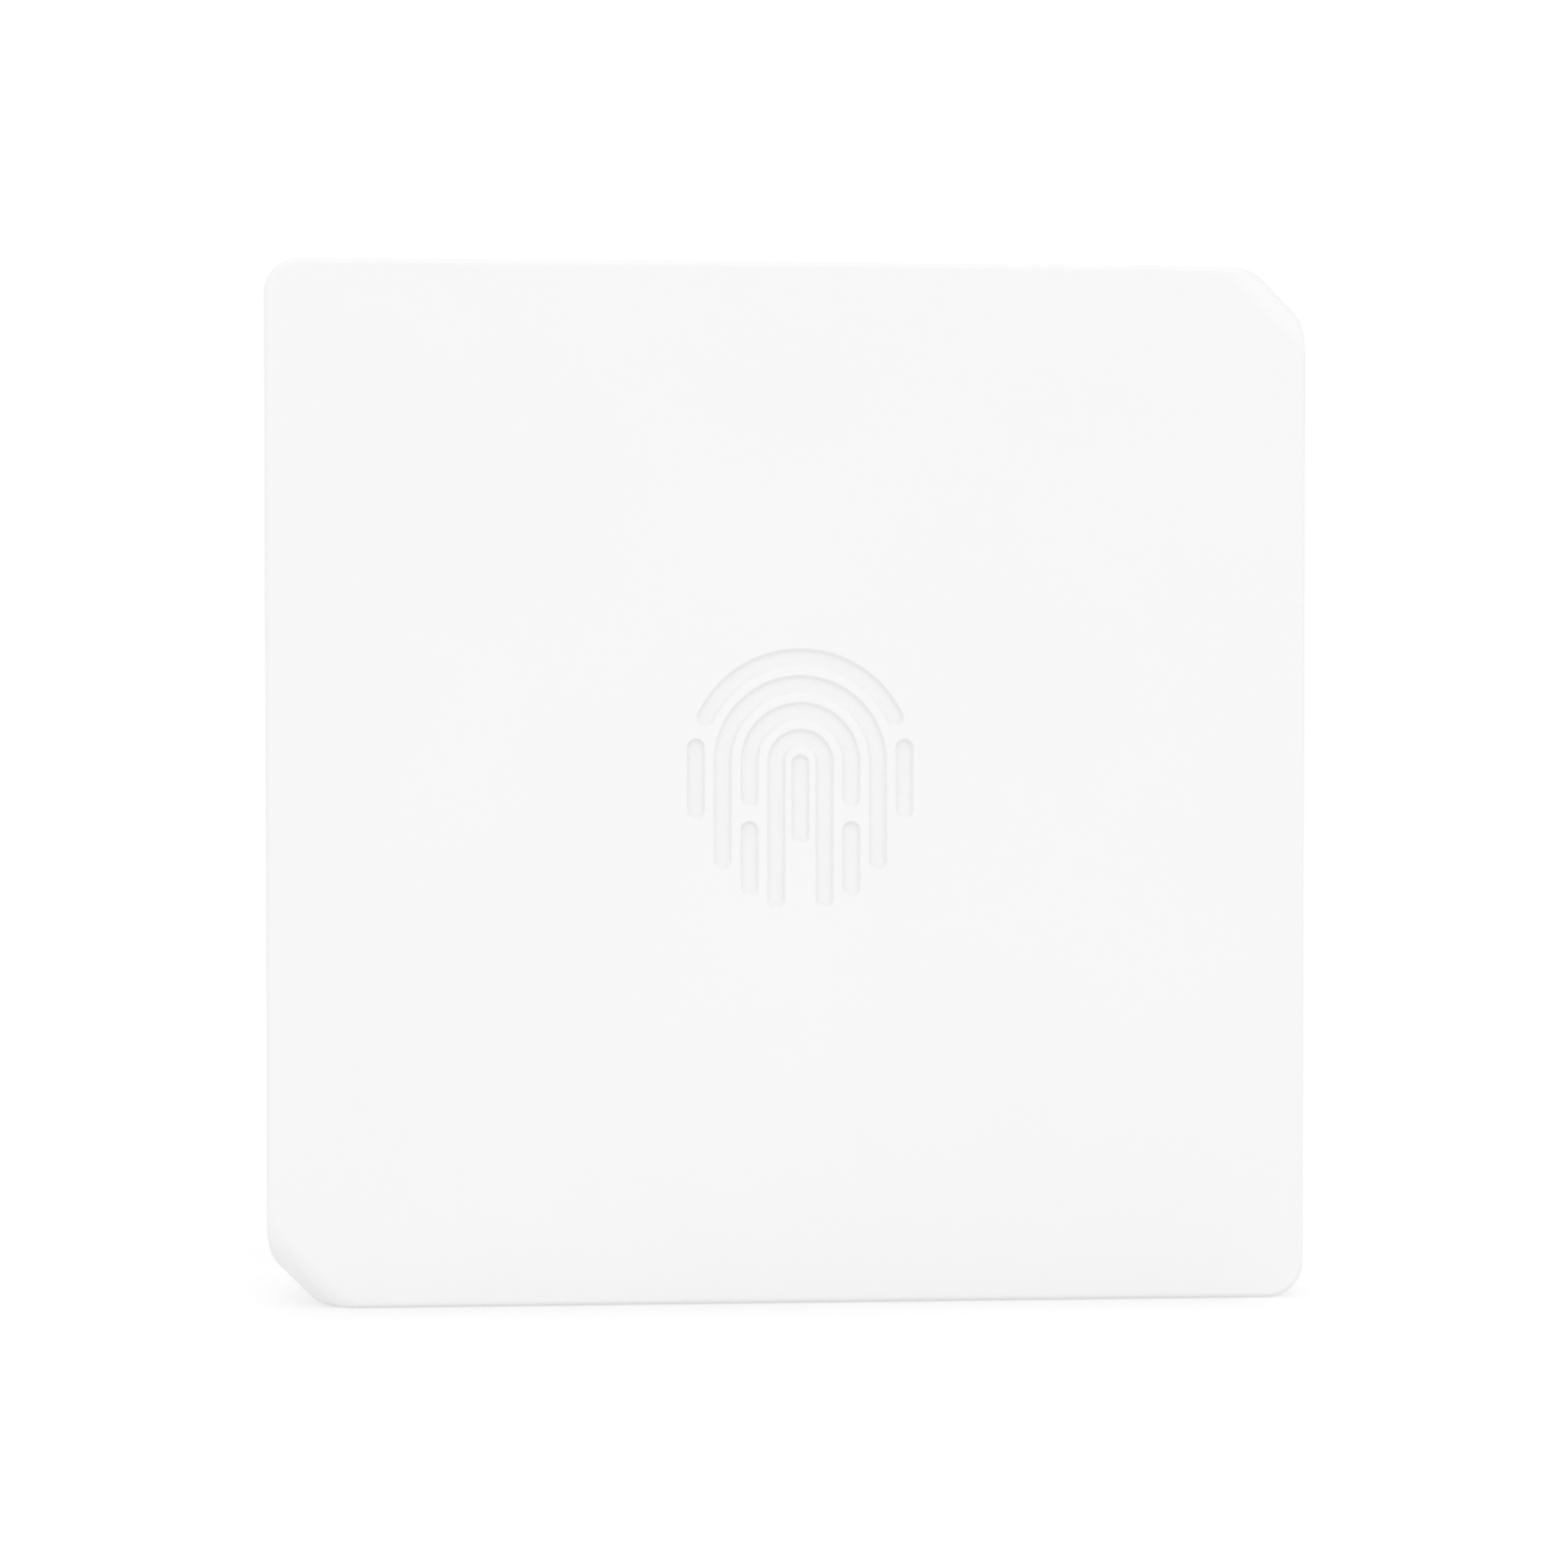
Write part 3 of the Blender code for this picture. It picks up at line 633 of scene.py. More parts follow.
def diffuser_finish():
    made = Finish("milky light guide", (0.86, 0.89, 0.91), 0.28)
    made.tint(made.noise(5, 2), (0.90, 0.91, 0.90))
    made.gloss(made.noise(0.8, 2), 0.05)
    made.level(transmission_weight=0.45, ior=1.49)
    return made


def laminate_finish():
    made = Finish("green solder mask", (0.010, 0.110, 0.045), 0.36)
    made.tint(made.noise(6, 3), (0.016, 0.150, 0.062))
    made.gloss(made.noise(0.7, 3), 0.05)
    made.relief(made.noise(0.5, 1, (4, 1, 0.6)), 0.006)
    made.relief(made.noise(0.5, 1, (0.6, 1, 4)), 0.006)
    made.level(coat_weight=0.12, coat_roughness=0.2)
    return made


def track_finish():
    made = Finish("copper under mask", (0.030, 0.215, 0.085), 0.3)
    made.tint(made.noise(2.5, 3), (0.038, 0.250, 0.100))
    made.relief(made.noise(0.3, 2), 0.003)
    made.level(coat_weight=0.12, coat_roughness=0.18)
    return made


def ferrite_finish():
    made = Finish("ferrite tiles", (0.040, 0.040, 0.044), 0.5)
    made.tint(made.cells(2.0, 0.0, (1, 0, 1), lines=True), (0.062, 0.062, 0.066), 0.0, 0.06)
    made.relief(made.cells(2.0, 0.0, (1, 0, 1), lines=True), 0.02)
    made.gloss(made.noise(0.4, 4), 0.1)
    return made


def plate_finish():
    """Zinc-coated sheet: spangles, long rolling marks and a few dull stains."""
    made = Finish("zinc-coated plate", (0.62, 0.63, 0.65), 0.36, 1.0)
    made.tint(made.cells(3.2), (0.72, 0.73, 0.74), 0.1, 0.9)
    made.tint(made.noise(9, 4), (0.55, 0.55, 0.56), 0.52, 0.8)
    made.gloss(made.noise(0.5, 4, (0.06, 1, 1)), 0.12)
    made.relief(made.noise(0.2, 3, (0.05, 1, 1)), 0.004)
    return made


def gel_finish():
    made = Finish("phosphor gel", (0.86, 0.68, 0.16), 0.2)
    made.tint(made.noise(0.4, 2), (0.90, 0.74, 0.24))
    made.level(coat_weight=0.6, coat_roughness=0.05)
    return made


def tape_finish():
    made = Finish("amber tape", (0.62, 0.30, 0.045), 0.25)
    made.tint(made.noise(1.5, 3), (0.50, 0.22, 0.03))
    made.gloss(made.noise(0.6, 3), 0.06)
    made.relief(made.noise(0.4, 2), 0.008)
    return made


def ceramic_finish():
    made = Finish("tan ceramic", (0.46, 0.35, 0.22), 0.55)
    made.tint(made.noise(0.3, 3), (0.52, 0.41, 0.28))
    made.relief(made.noise(0.05, 2), 0.003)
    return made


def epoxy_finish():
    made = Finish("moulded epoxy", (0.022, 0.022, 0.024), 0.48)
    made.tint(made.noise(0.6, 3), (0.032, 0.032, 0.034))
    made.gloss(made.noise(0.3, 3), 0.08)
    made.relief(made.noise(0.06, 2), 0.004)
    return made


def cover_finish():
    made = Finish("moulded white cover", (0.778, 0.777, 0.778), 0.52)
    made.tint(made.noise(22, 3), (0.770, 0.769, 0.769))
    made.gloss(made.noise(0.9, 3), 0.05)
    made.relief(made.noise(0.22, 2), 0.0022)
    return made


HOUSING = moulded("moulded white housing", (0.762, 0.762, 0.761), (0.747, 0.747, 0.745), 0.55, 0.2, 0.006)
RUBBER = rubber_finish()
DIFFUSER = diffuser_finish()
LAMINATE = laminate_finish()
TRACK = track_finish()
ENAMELLED = metal("enamelled copper", (0.72, 0.30, 0.11), (0.62, 0.24, 0.08), 0.26)
ENAMELLED.level(coat_weight=0.5, coat_roughness=0.12)
COPPER = metal("bare copper", (0.80, 0.42, 0.22), (0.68, 0.32, 0.15), 0.34)
GOLD = metal("gold plating", (0.88, 0.64, 0.26), (0.80, 0.56, 0.22), 0.26)
FERRITE = ferrite_finish()
SPRING = metal("spring wire", (0.58, 0.58, 0.59), (0.48, 0.47, 0.46), 0.26, (1, 0.2, 1))
EPOXY = epoxy_finish()
WHITE = moulded("white plastic", (0.78, 0.77, 0.74), (0.75, 0.74, 0.70), 0.42, 0.15)
TIN = metal("tinned metal", (0.72, 0.72, 0.73), (0.62, 0.62, 0.63), 0.24)
CAN = metal("brushed can", (0.68, 0.68, 0.70), (0.60, 0.60, 0.62), 0.28, (0.1, 1, 1))
GREEN = moulded("green terminal plastic", (0.020, 0.27, 0.085), (0.026, 0.31, 0.10), 0.42, 0.2)
RED = moulded("red switch plastic", (0.46, 0.022, 0.018), (0.41, 0.020, 0.016), 0.4, 0.2)
BLACK = moulded("black plastic", (0.022, 0.022, 0.023), (0.032, 0.032, 0.033), 0.48, 0.18, 0.005)
PLATE = plate_finish()
SCREW = metal("plated screw steel", (0.60, 0.60, 0.61), (0.66, 0.64, 0.58), 0.28, (1, 6, 1), 0.003)
BRASS = metal("turned brass", (0.74, 0.53, 0.20), (0.64, 0.44, 0.16), 0.28, (1, 1, 6), 0.003)
GEL = gel_finish()
TAPE = tape_finish()
CERAMIC = ceramic_finish()
PRINT = moulded("white legend ink", (0.80, 0.80, 0.78), (0.74, 0.74, 0.72), 0.6, 0.1)


# ------------------------------------------------------------------ case

def front_cover():
    rings = []
    tiny_flat = 0.12
    rings.append(outline_ring(EDGE_RADIUS + tiny_flat, 0.0, CUT_ROLL - EDGE_RADIUS))
    depths = [EDGE_RADIUS * (1 - math.cos(math.radians(angle))) for angle in range(0, 91, 10)]
    depths += [1.1, 1.5, 1.9, 2.25, CUT_ROLL]
    for depth in depths:
        inset = rolled_in(EDGE_RADIUS, depth)
        rings.append(outline_ring(inset, depth, rolled_in(CUT_ROLL, depth) - inset))
    rebate = 1.0
    rebate_front = COVER_DEPTH - 1.2
    inside = [(0.0, COVER_DEPTH - 0.12), (0.12, COVER_DEPTH), (rebate, COVER_DEPTH), (rebate, rebate_front),
              (WALL, rebate_front), (WALL, WALL + 0.6), (WALL + 0.18, WALL + 0.18), (WALL + 0.6, WALL)]
    rings += [outline_ring(inset, depth) for inset, depth in inside]
    cover = drawn("front_shell", rings)
    boss_back = 12.5
    for x, z in COVER_SCREWS:
        boss = turned("boss", (x, z), [(3.3, 1.5), (3.3, 2.2), (2.8, 2.9), (2.7, 5.0), (2.7, boss_back)])
        add(cover, boss)
    collar = [(13.9, 1.5), (14.9, 1.5), (14.9, 3.7), (13.9, 3.7)]
    add(cover, turned("collar", SYMBOL_CENTRE, collar, sides=96, closed=True))
    boss_hole = [(1.5, 6.5), (1.5, boss_back - 0.3), (1.9, boss_back + 0.1)]
    for spot in COVER_SCREWS:
        cut(cover, turned("boss_hole", spot, boss_hole, sides=32))
    cut(cover, groove_tools())
    fit(smooth(cover), "cover", "cover_plastic", cover_finish(), "front_cover")


def cover_seal():
    """An oval bead that the cover's rebate presses on the rim."""
    rings = []
    for i in range(14):
        angle = 2 * math.pi * i / 14
        rings.append(outline_ring(1.65 + 0.4 * math.cos(angle), 8.6 + 0.5 * math.sin(angle)))
    fit(smooth(drawn("seal_bead", rings, closed=True)), "housing", "seal_rubber", RUBBER, "cover_seal")


def housing_shell():
    """Lip, rim, outer wall and back edge round the web, from the web's front to its back."""
    lip_outer = WALL + GAP
    lip_inner = lip_outer + LIP_WALL
    back_round = 0.5
    steps = [(WALL + 0.5, WEB_FRONT), (WALL + 0.15, WEB_FRONT - 0.15), (WALL, WEB_FRONT - 0.5),
             (WALL, LIP_BACK), (lip_inner, LIP_BACK), (lip_inner, LIP_FRONT + 0.25),
             (lip_inner - 0.07, LIP_FRONT + 0.07), (lip_inner - 0.25, LIP_FRONT),
             (lip_outer + 0.25, LIP_FRONT), (lip_outer + 0.07, LIP_FRONT + 0.07),
             (lip_outer, LIP_FRONT + 0.25), (lip_outer, RIM_FRONT), (0.2, RIM_FRONT),
             (0.06, RIM_FRONT + 0.06), (0.0, RIM_FRONT + 0.2), (0.0, 13.0)]
    for angle in range(0, 91, 15):
        turn = math.radians(angle)
        steps.append((back_round * (1 - math.cos(turn)), HOUSING_BACK - back_round * (1 - math.sin(turn))))
    steps += [(WALL - 0.2, HOUSING_BACK), (WALL - 0.06, HOUSING_BACK - 0.06), (WALL, HOUSING_BACK - 0.2),
              (WALL, WEB_BACK + 0.5), (WALL + 0.15, WEB_BACK + 0.15), (WALL + 0.5, WEB_BACK)]
    return drawn("rear_shell", [outline_ring(inset, depth) for inset, depth in steps])


def rib(low, high):
    """A stiffening rib on the back of the web between two (x, z) corners."""
    return block("rib", (low[0], WEB_BACK - 0.4, low[1]), (high[0], WEB_BACK + RIB_HEIGHT, high[1]), 0.15, 2)


def ribs():
    made = [rib((-33, 57.6), (33, 58.4))]
    for side in (-1, 1):
        made.append(rib((side * 14 - 0.4, 52), (side * 14 + 0.4, 78.6)))
        made.append(rib((side * 14 - 0.4, 6.5), (side * 14 + 0.4, 15)))
        made.append(rib((side * 26 - 0.4, 59), (side * 26 + 0.4, 78.6)))
        low, high = sorted((side * 24.5, side * 39))
        for z in (22, 30, 52):
            made.append(rib((low, z - 0.4), (high, z + 0.4)))
    return made


def rear_housing():
    housing = housing_shell()
    for spot in BOARD_SCREWS:
        post = [(3.2, WEB_FRONT + 0.4), (3.2, WEB_FRONT - 0.3), (2.75, WEB_FRONT - 0.8),
                (2.6, WEB_FRONT - 1.6), (2.6, 8.7), (2.4, 8.5)]
        add(housing, turned("post", spot, post, sides=32))
    frame = rounded(BAY_HALF + 1.2, 18.2, 1.6, (0, 33))
    add(housing, ease(plate("bay_frame", frame, 8.6, 13.3), 0.2))
    lock_boss = [(3.1, 4.7), (3.4, 5.0), (3.4, 10.2), (3.1, 10.5)]
    add(housing, turned("lock_boss", LOCK_AT, lock_boss, 'Z'))
    for side in (-1, 1):
        left = side * TAB_X - 5
        add(housing, block("ledge", (left, 16.6, 81.4), (left + 10, HOUSING_BACK, SIDE - WALL + 0.6), 0.15))
    for piece in ribs():
        add(housing, piece)
    cut(housing, plate("bay", rounded(BAY_HALF, 17.0, 0.8, (0, 33)), 8.0, 16.0))
    for spot in COVER_SCREWS:
        hole = [(1.7, WEB_FRONT - 1), (1.7, WEB_BACK - 0.35), (2.1, WEB_BACK + 0.05), (2.1, WEB_BACK + 2)]
        cut(housing, turned("screw_hole", spot, hole, sides=32))
    for spot in BOARD_SCREWS:
        hole = [(1.25, WEB_FRONT - 0.4), (1.25, 8.8), (1.6, 8.4), (1.6, 8.0)]
        cut(housing, turned("post_hole", spot, hole, sides=24))
    cut(housing, block("flange_slot", (-9, WEB_FRONT - 1, WALL - 0.2), (9, WEB_BACK + 1, 4.7), 0.3))
    cut(housing, turned("lock_hole", LOCK_AT, [(3.1, -1.0), (3.1, 0.1), (2.6, 0.5), (2.6, 2.5)], 'Z'))
    cut(housing, turned("insert_hole", LOCK_AT, [(2.3, 4.0), (2.3, 9.7)], 'Z'))
    for side in (-1, 1):
        left = side * TAB_X - 5
        high = (left + 10, WEB_BACK + 1, SIDE - WALL - 0.2)
        pocket = block("pocket", (left, WEB_BACK - 0.8, 79.0), high, 0.3)
        cut(housing, pocket)
    fit(smooth(housing), "housing", "housing_plastic", HOUSING, "rear_housing")


# ------------------------------------------------------------------ wall plate and lock

def pressed_bead(sheet, start, end):
    """A stiffening bead pressed forward out of the plate between two (x, z) points."""
    bulge = [(1.7, PLATE_FRONT + 0.3), (1.7, PLATE_FRONT), (1.5, PLATE_FRONT - 0.12),
             (1.1, PLATE_FRONT - 0.3)]
    hollow = [(1.65, PLATE_BACK + 0.3), (1.65, PLATE_BACK), (1.5, PLATE_BACK - 0.1), (1.0, PLATE_BACK - 0.3)]
    for section, shape in ((bulge, add), (hollow, cut)):
        rings = [[at(x, depth, z) for x, z in stroke_outline([start, end], half)] for half, depth in section]
        shape(sheet, drawn("bead", rings))


def bent_tab(x, width, run, thickness):
    """A tab bent from the plate: run is its centre line as (depth, z)."""
    soft = softened(run, 0.9, 5, closed=False)
    turned_run = [(z, depth) for depth, z in soft]
    return strip("tab", turned_run, thickness, width, (x, 0), quarter=1)


def mounting_plate():
    low, high, half, corner = 3.1, 80.4, 39.0, 4.0
    right = [(half - corner, low), (half, low + corner), (half, high - corner), (half - corner, high)]
    points = softened(right + [(-x, z) for x, z in reversed(right)], 0.8)
    sheet = plate("wall_plate", points, PLATE_FRONT, PLATE_BACK)
    middle = (PLATE_FRONT + PLATE_BACK) / 2
    cut(sheet, block("flange_relief", (-8.6, 16, 0), (8.6, 19, 5.6)))
    flange = [(10.9, low + 0.6), (middle, low + 0.6), (middle, 6.0)]
    add(sheet, bent_tab(0, 16, flange, 1.2))
    for side in (-1, 1):
        x = side * TAB_X
        cut(sheet, block("tab_relief", (x - 4.6, 16, 78.6), (x + 4.6, 19, 82)))
        hook = [(middle, 78.0), (middle, 79.8), (15.8, 79.8), (15.8, 83.0)]
        add(sheet, bent_tab(x, 8, hook, 1.0))
    near, far = PLATE_FRONT - 1, PLATE_BACK + 1
    cut(sheet, plate("cable_opening", rounded(20, 10.5, 2.0, (0, 28)), near, far))
    cut(sheet, turned("plunger_hole", TAMPER_AT, [(2.5, near), (2.5, far)]))
    for x, z in ((-30, MID_Z), (30, MID_Z), (0, MID_Z + 30), (0, MID_Z - 30)):
        half_x, half_z = (2.25, 4.5) if x else (4.5, 2.25)
        cut(sheet, plate("fixing_slot", rounded(half_x, half_z, 2.24, (x, z), 8), near, far))
    for side in (-1, 1):
        cut(sheet, plate("tie_slot", rounded(2.2, 0.8, 0.79, (side * 13, 13)), near, far))
    slot = arc((0, LOCK_AT[1]), 1.6, 0, 180, 12) + [(-1.6, 9.0), (1.6, 9.0)]
    cut(sheet, drawn("lock_slot", [[at(x, depth, z) for x, depth in slot] for z in (2.0, 5.4)]))
    ease(sheet, 0.14)
    for side in (-1, 1):
        pressed_bead(sheet, (side * 24, 10), (side * 24, 72))
    pressed_bead(sheet, (-15, 58), (15, 58))
    fit(smooth(sheet, 30), "wall_plate", "plate_steel", PLATE, "mounting_plate")


def lock_parts():
    head = [(0.4, 0.8), (1.75, 0.8), (2.0, 0.86), (2.2, 1.0), (2.3, 1.25), (2.3, 2.6), (2.15, 2.8),
            (1.2, 2.8)]
    rings = [circle(LOCK_AT, 'Z', radius, z, 48) for radius, z in head]
    rings += thread(LOCK_AT, 1.0, 1.35, 3.0, 8.9, 0.5, 'Z', 48)
    rings.append(circle(LOCK_AT, 'Z', 0.7, 9.3, 48))
    made = drawn("security_screw", rings)
    cut(made, turned("socket", LOCK_AT, [(1.45, 0.6), (1.25, 0.95), (1.25, 2.0), (0.3, 2.3)], 'Z', sides=6))
    fit(smooth(made, 30), "lock", "screw_steel", SCREW, "lock_screw")

    rings = []
    for radius, z in ((1.8, 5.0), (2.0, 5.2), (2.0, 6.6), (1.75, 6.75), (1.75, 7.2), (2.0, 7.35),
                      (2.0, 9.1), (1.8, 9.4)):
        ring = []
        for i in range(72):
            knurl = 0.12 * (i % 3 == 0) if radius == 2.0 else 0.0
            ring.append(around(LOCK_AT, 'Z', radius - knurl, 2 * math.pi * i / 72, z))
        rings.append(ring)
    for z in (9.4, 9.2, 5.2, 5.0):
        radius = 1.5 if z in (9.2, 5.2) else 1.65
        rings.append([around(LOCK_AT, 'Z', radius, 2 * math.pi * i / 72, z) for i in range(72)])
    fit(smooth(drawn("threaded_insert", rings, closed=True), 30), "housing", "brass", BRASS, "lock_insert")


# ------------------------------------------------------------------ screws

def slotted_screw(name, spot, top, seat, tip, head, root, crest, pitch):
    """A pan-head screw along Y; top, seat and tip are depths."""
    out = 1 if top > seat else -1
    profile = [(0.3, 0.0), (head * 0.55, 0.02), (head * 0.8, 0.12), (head * 0.94, 0.32), (head, 0.6)]
    rings = [circle(spot, 'Y', radius, top - out * drop, 40) for radius, drop in profile]
    for radius, rise in ((head, 0.12), (head - 0.12, 0)):
        rings.append(circle(spot, 'Y', radius, seat + out * rise, 40))
    rings.append(circle(spot, 'Y', root, seat, 40))
    rings += thread(spot, root, crest, seat - out * 0.3, tip + out * 0.5, pitch, sides=40)
    rings.append(circle(spot, 'Y', root / 2, tip, 40))
    made = drawn(name, rings)
    near, far = sorted((top - out * 0.7, top + out))
    x, z = spot
    cut(made, block("slot", (x - head - 1, near, z - 0.35), (x + head + 1, far, z + 0.35)))
    return smooth(made, 30)


def screws():
    for number, spot in enumerate(COVER_SCREWS, 1):
        made = slotted_screw(f"case_screw_{number}", spot, 16.3, 14.8, 7.0, 2.5, 0.95, 1.3, 0.9)
        fit(made, "housing", "screw_steel", SCREW, f"cover_screw_{number}")
    for number, spot in enumerate(BOARD_SCREWS, 1):
        made = slotted_screw(f"post_screw_{number}", spot, 4.9, 6.3, 11.8, 2.2, 0.72, 1.05, 0.8)
        fit(made, "housing", "screw_steel", SCREW, f"board_screw_{number}")


# ------------------------------------------------------------------ board

def ribbon(points, half_width, near, far):
    """A flat copper track along a run of (x, z) points."""
    return plate("track", stroke_outline(softened(points, 0.6, 1, closed=False), half_width), near, far)


def pad(x, z, half_x, half_z, near, far):
    return plate("pad", rounded(half_x, half_z, min(half_x, half_z) * 0.4, (x, z), 3), near, far)


def via(x, z, near, far):
    """A plated ring with its hole, on one face of the board."""
    ring = [(0.16, near), (0.34, near), (0.34, far), (0.16, far)]
    return turned("via", (x, z), ring, sides=14, closed=True)


def main_board():
    notch, edge = 32.5, 38.0
    corner = [(edge, notch), (notch, notch), (notch, edge)]
    points = []
    for c, s in ((1, 0), (0, 1), (-1, 0), (0, -1)):
        points += [(c * x - s * z, MID_Z + s * x + c * z) for x, z in corner]
    board = plate("circuit_board", softened(points, 0.5), BOARD_FRONT, BOARD_BACK)
    for spot in BOARD_SCREWS:
        cut(board, turned("board_hole", spot, [(1.3, BOARD_FRONT - 1), (1.3, BOARD_BACK + 1)], sides=32))
    for side in (-1, 1):
        bite = rounded(1.2, 2.0, 1.1, (side * edge, 10))
        cut(board, plate("edge_notch", bite, BOARD_FRONT - 1, BOARD_BACK + 1))
    ease(board, 0.08)
    fit(smooth(board), "housing", "board_laminate", LAMINATE, "main_board")


def front_tracks():
    """Front tracks: chip to chip, chip to crystal and coil, supply lines and a guard round the edge."""
    faces = (BOARD_FRONT - 0.035, BOARD_FRONT + 0.05)
    made = []
    for i in range(8):
        leg = 12.5 + (i - 3.5) * 0.8
        pin = 12.5 + (i - 3.5) * 0.5
        made.append(ribbon([(0.2, leg), (2.4, leg), (2.4 + abs(leg - pin), pin), (5.6, pin)], 0.13, *faces))
        rank = min(i, 7 - i)
        turn = -9.9 - 0.4 * rank
        end = -10.4 - 0.9 * rank
        up = math.copysign(1.0, i - 3.5)
        fan = 12.4 + 4.3 * up
        run = [(-8.2, leg), (turn, leg), (turn, fan), (end, fan + 0.9 * up), (end, fan + 1.4 * up)]
        made.append(ribbon(run, 0.13, *faces))
        foot = -4 + (i - 3.5) * 0.8
        made.append(ribbon([(foot, 8.4), (foot, 7.4), (foot + 0.35 * (i - 3.5), 6.6)], 0.13, *faces))
    for out in (-0.9, 0.9):
        run = [(10.3, 12.5 + out), (12.2, 12.5 + out), (12.9, 12.5 + 0.6 * out), (13.6, 12.5 + 0.6 * out)]
        made.append(ribbon(run, 0.16, *faces))
    made.append(ribbon([(7.4, 15.0), (7.4, 16.4), (6.0, 17.8)], 0.3, *faces))
    made.append(ribbon([(8.6, 15.0), (8.6, 16.4), (10.0, 17.8)], 0.3, *faces))
    made.append(ribbon([(18.5, 9.0), (21.5, 9.0), (27.2, 9.0), (28.4, 10.2)], 0.5, *faces))
    made.append(ribbon([(-15.0, 6.6), (-26.5, 6.6), (-27.6, 7.7), (-27.6, 10.0)], 0.5, *faces))
    low, high, notch, edge = 6.2, 79.8, 31.8, 36.8
    for side in (-1, 1):
        guard = [(side * notch, low), (side * notch, 11.2), (side * edge, 11.2), (side * edge, 17.6)]
        made.append(ribbon(guard, 0.35, *faces))
        guard = [(side * edge, 25.0), (side * edge, 61.0)]
        made.append(ribbon(guard, 0.35, *faces))
        guard = [(side * edge, 69.0), (side * edge, 74.8), (side * notch, 74.8), (side * notch, high)]
        made.append(ribbon(guard, 0.35, *faces))
    made.append(ribbon([(-notch, high), (notch, high)], 0.35, *faces))
    made += light_tracks(faces)
    for i in range(6):
        x = -12.5 + 5 * i
        end = x - 1.2 + 0.5 * i
        made.append(ribbon([(x, 72.2), (x, 73.2), (end, 74.6), (end, 76.0)], 0.16, *faces))
    fit(smooth(join(made, "front_tracks")), "housing", "board_laminate", TRACK)


def light_tracks(faces):
    """Tracks in the antenna's window: a loop that feeds the lights, their returns and the spring's land."""
    cx, cz = SYMBOL_CENTRE
    loop = [(cx + x, cz + z) for x, z in arc((0, 0), 10.6, 20, 340, 60)]
    made = [plate("loop", stroke_outline(loop, 0.22), faces[0] - 0.006, faces[1])]
    for angle in (45, 135, 225, 315):
        c, s = math.cos(math.radians(angle)), math.sin(math.radians(angle))
        side = math.copysign(1.0, c)
        x, z = cx + 7.5 * c, cz + 7.5 * s
        feed = [(x + side * 1.5, z), (x + side * 2.2, z), (cx + 10.5 * c, cz + 10.5 * s)]
        back = [(x - side * 1.5, z), (x - side * 3.2, z), (cx + side * 1.1, cz + s * 3.2)]
        made += [ribbon(feed, 0.16, *faces), ribbon(back, 0.16, *faces)]
    sense = [(cx + 11.5, cz), (cx + 8.6, cz), (cx + 6.8, cz - 1.8), (cx + 2.2, cz - 1.8)]
    made.append(ribbon(sense, 0.2, *faces))
    return made


def back_tracks():
    """Tracks on the back: from the terminals and switches down to a row of vias."""
    faces = (BOARD_BACK - 0.05, BOARD_BACK + 0.035)
    made = []
    for i in range(6):
        x = -16.5 + 3.5 * i
        low = x * 0.55 - 3.2
        z = 36.5 - abs(i - 2.5) * 0.7
        made.append(ribbon([(x, 39.8), (x, z + abs(x - low)), (low, z), (low, 26.5)], 0.3, *faces))
    for i in range(4):
        x = 10 + 2.54 * i
        made.append(ribbon([(x, 28.2), (x, 26.6), (x - 0.45 * (i + 1), 25.8)], 0.16, *faces))
        made.append(ribbon([(10.4 + i * 0.3, 25.0 - i * 0.5), (6.4, 25.0 - i * 0.5), (4.4, 23.0 - i * 0.5),
                            (1.5 - 0.9 * (i % 2), 23.0 - i * 0.5)], 0.13, *faces))
    made.append(ribbon([(17.0, 20.5), (19.4, 20.5), (20.4, 21.5), (20.4, 26.0)], 0.2, *faces))
    made.append(ribbon([(-20.8, 48.5), (-20.8, 18.0), (-19.6, 17.0), (12.0, 17.0)], 0.4, *faces))
    fit(smooth(join(made, "back_tracks")), "housing", "board_laminate", TRACK)


def solder_pads():
    """Bare pads, screw lands and rows of vias, all gold-plated."""
    front = (BOARD_FRONT - 0.045, BOARD_FRONT + 0.05)
    back = (BOARD_BACK - 0.05, BOARD_BACK + 0.045)
    made = []
    for spot in BOARD_SCREWS:
        for near, far in (front, back):
            land = [(1.36, near), (2.7, near), (2.7, far), (1.36, far)]
            made.append(turned("land", spot, land, sides=36, closed=True))
    for x, z in [(6.0, 17.8), (10.0, 17.8), (17.2, 7.0), (19.6, 7.0), (22.0, 7.0)]:
        made.append(pad(x, z, 0.8, 0.55, *front))
    for i in range(5):
        made.append(pad(-5.0 + 2.54 * i, 76.8, 0.75, 0.75, *front))
    for x, z in ((-28.0, 75.6), (28.0, 75.6), (-36.0, 22.0)):
        made.append(pad(x, z, 0.5, 0.5, *front))
    first = via(0, 0, *front)
    for i in range(22):
        made.append(copied(first, "via", (-31.5 + 3 * i, 0, 79.0)))
    for i in range(12):
        for side in (-1, 1):
            made.append(copied(first, "via", (side * 35.6, 0, 26.5 + 3 * i)))
    for i in range(4):
        for z in (6.6, 18.2):
            made.append(copied(first, "via", (-10.4 - 0.9 * i, 0, z)))
    made.append(first)
    lift = BOARD_BACK - BOARD_FRONT
    for i in range(6):
        made.append(copied(first, "via", ((-16.5 + 3.5 * i) * 0.55 - 3.2, lift, 26.2)))
    for i in range(4):
        made.append(copied(first, "via", (1.3 - 0.9 * (i % 2), lift, 23.0 - i * 0.5)))
        made.append(copied(first, "via", (-18.8 + i * 1.6, lift, 18.6)))
    for i in range(5):
        made.append(pad(-8.0 + 2.0 * i, 19.4, 0.6, 0.6, *back))
    bpy.data.objects.remove(made.pop(made.index(first)), do_unlink=True)
    fit(smooth(join(made, "gold_pads")), "housing", "brass", GOLD)


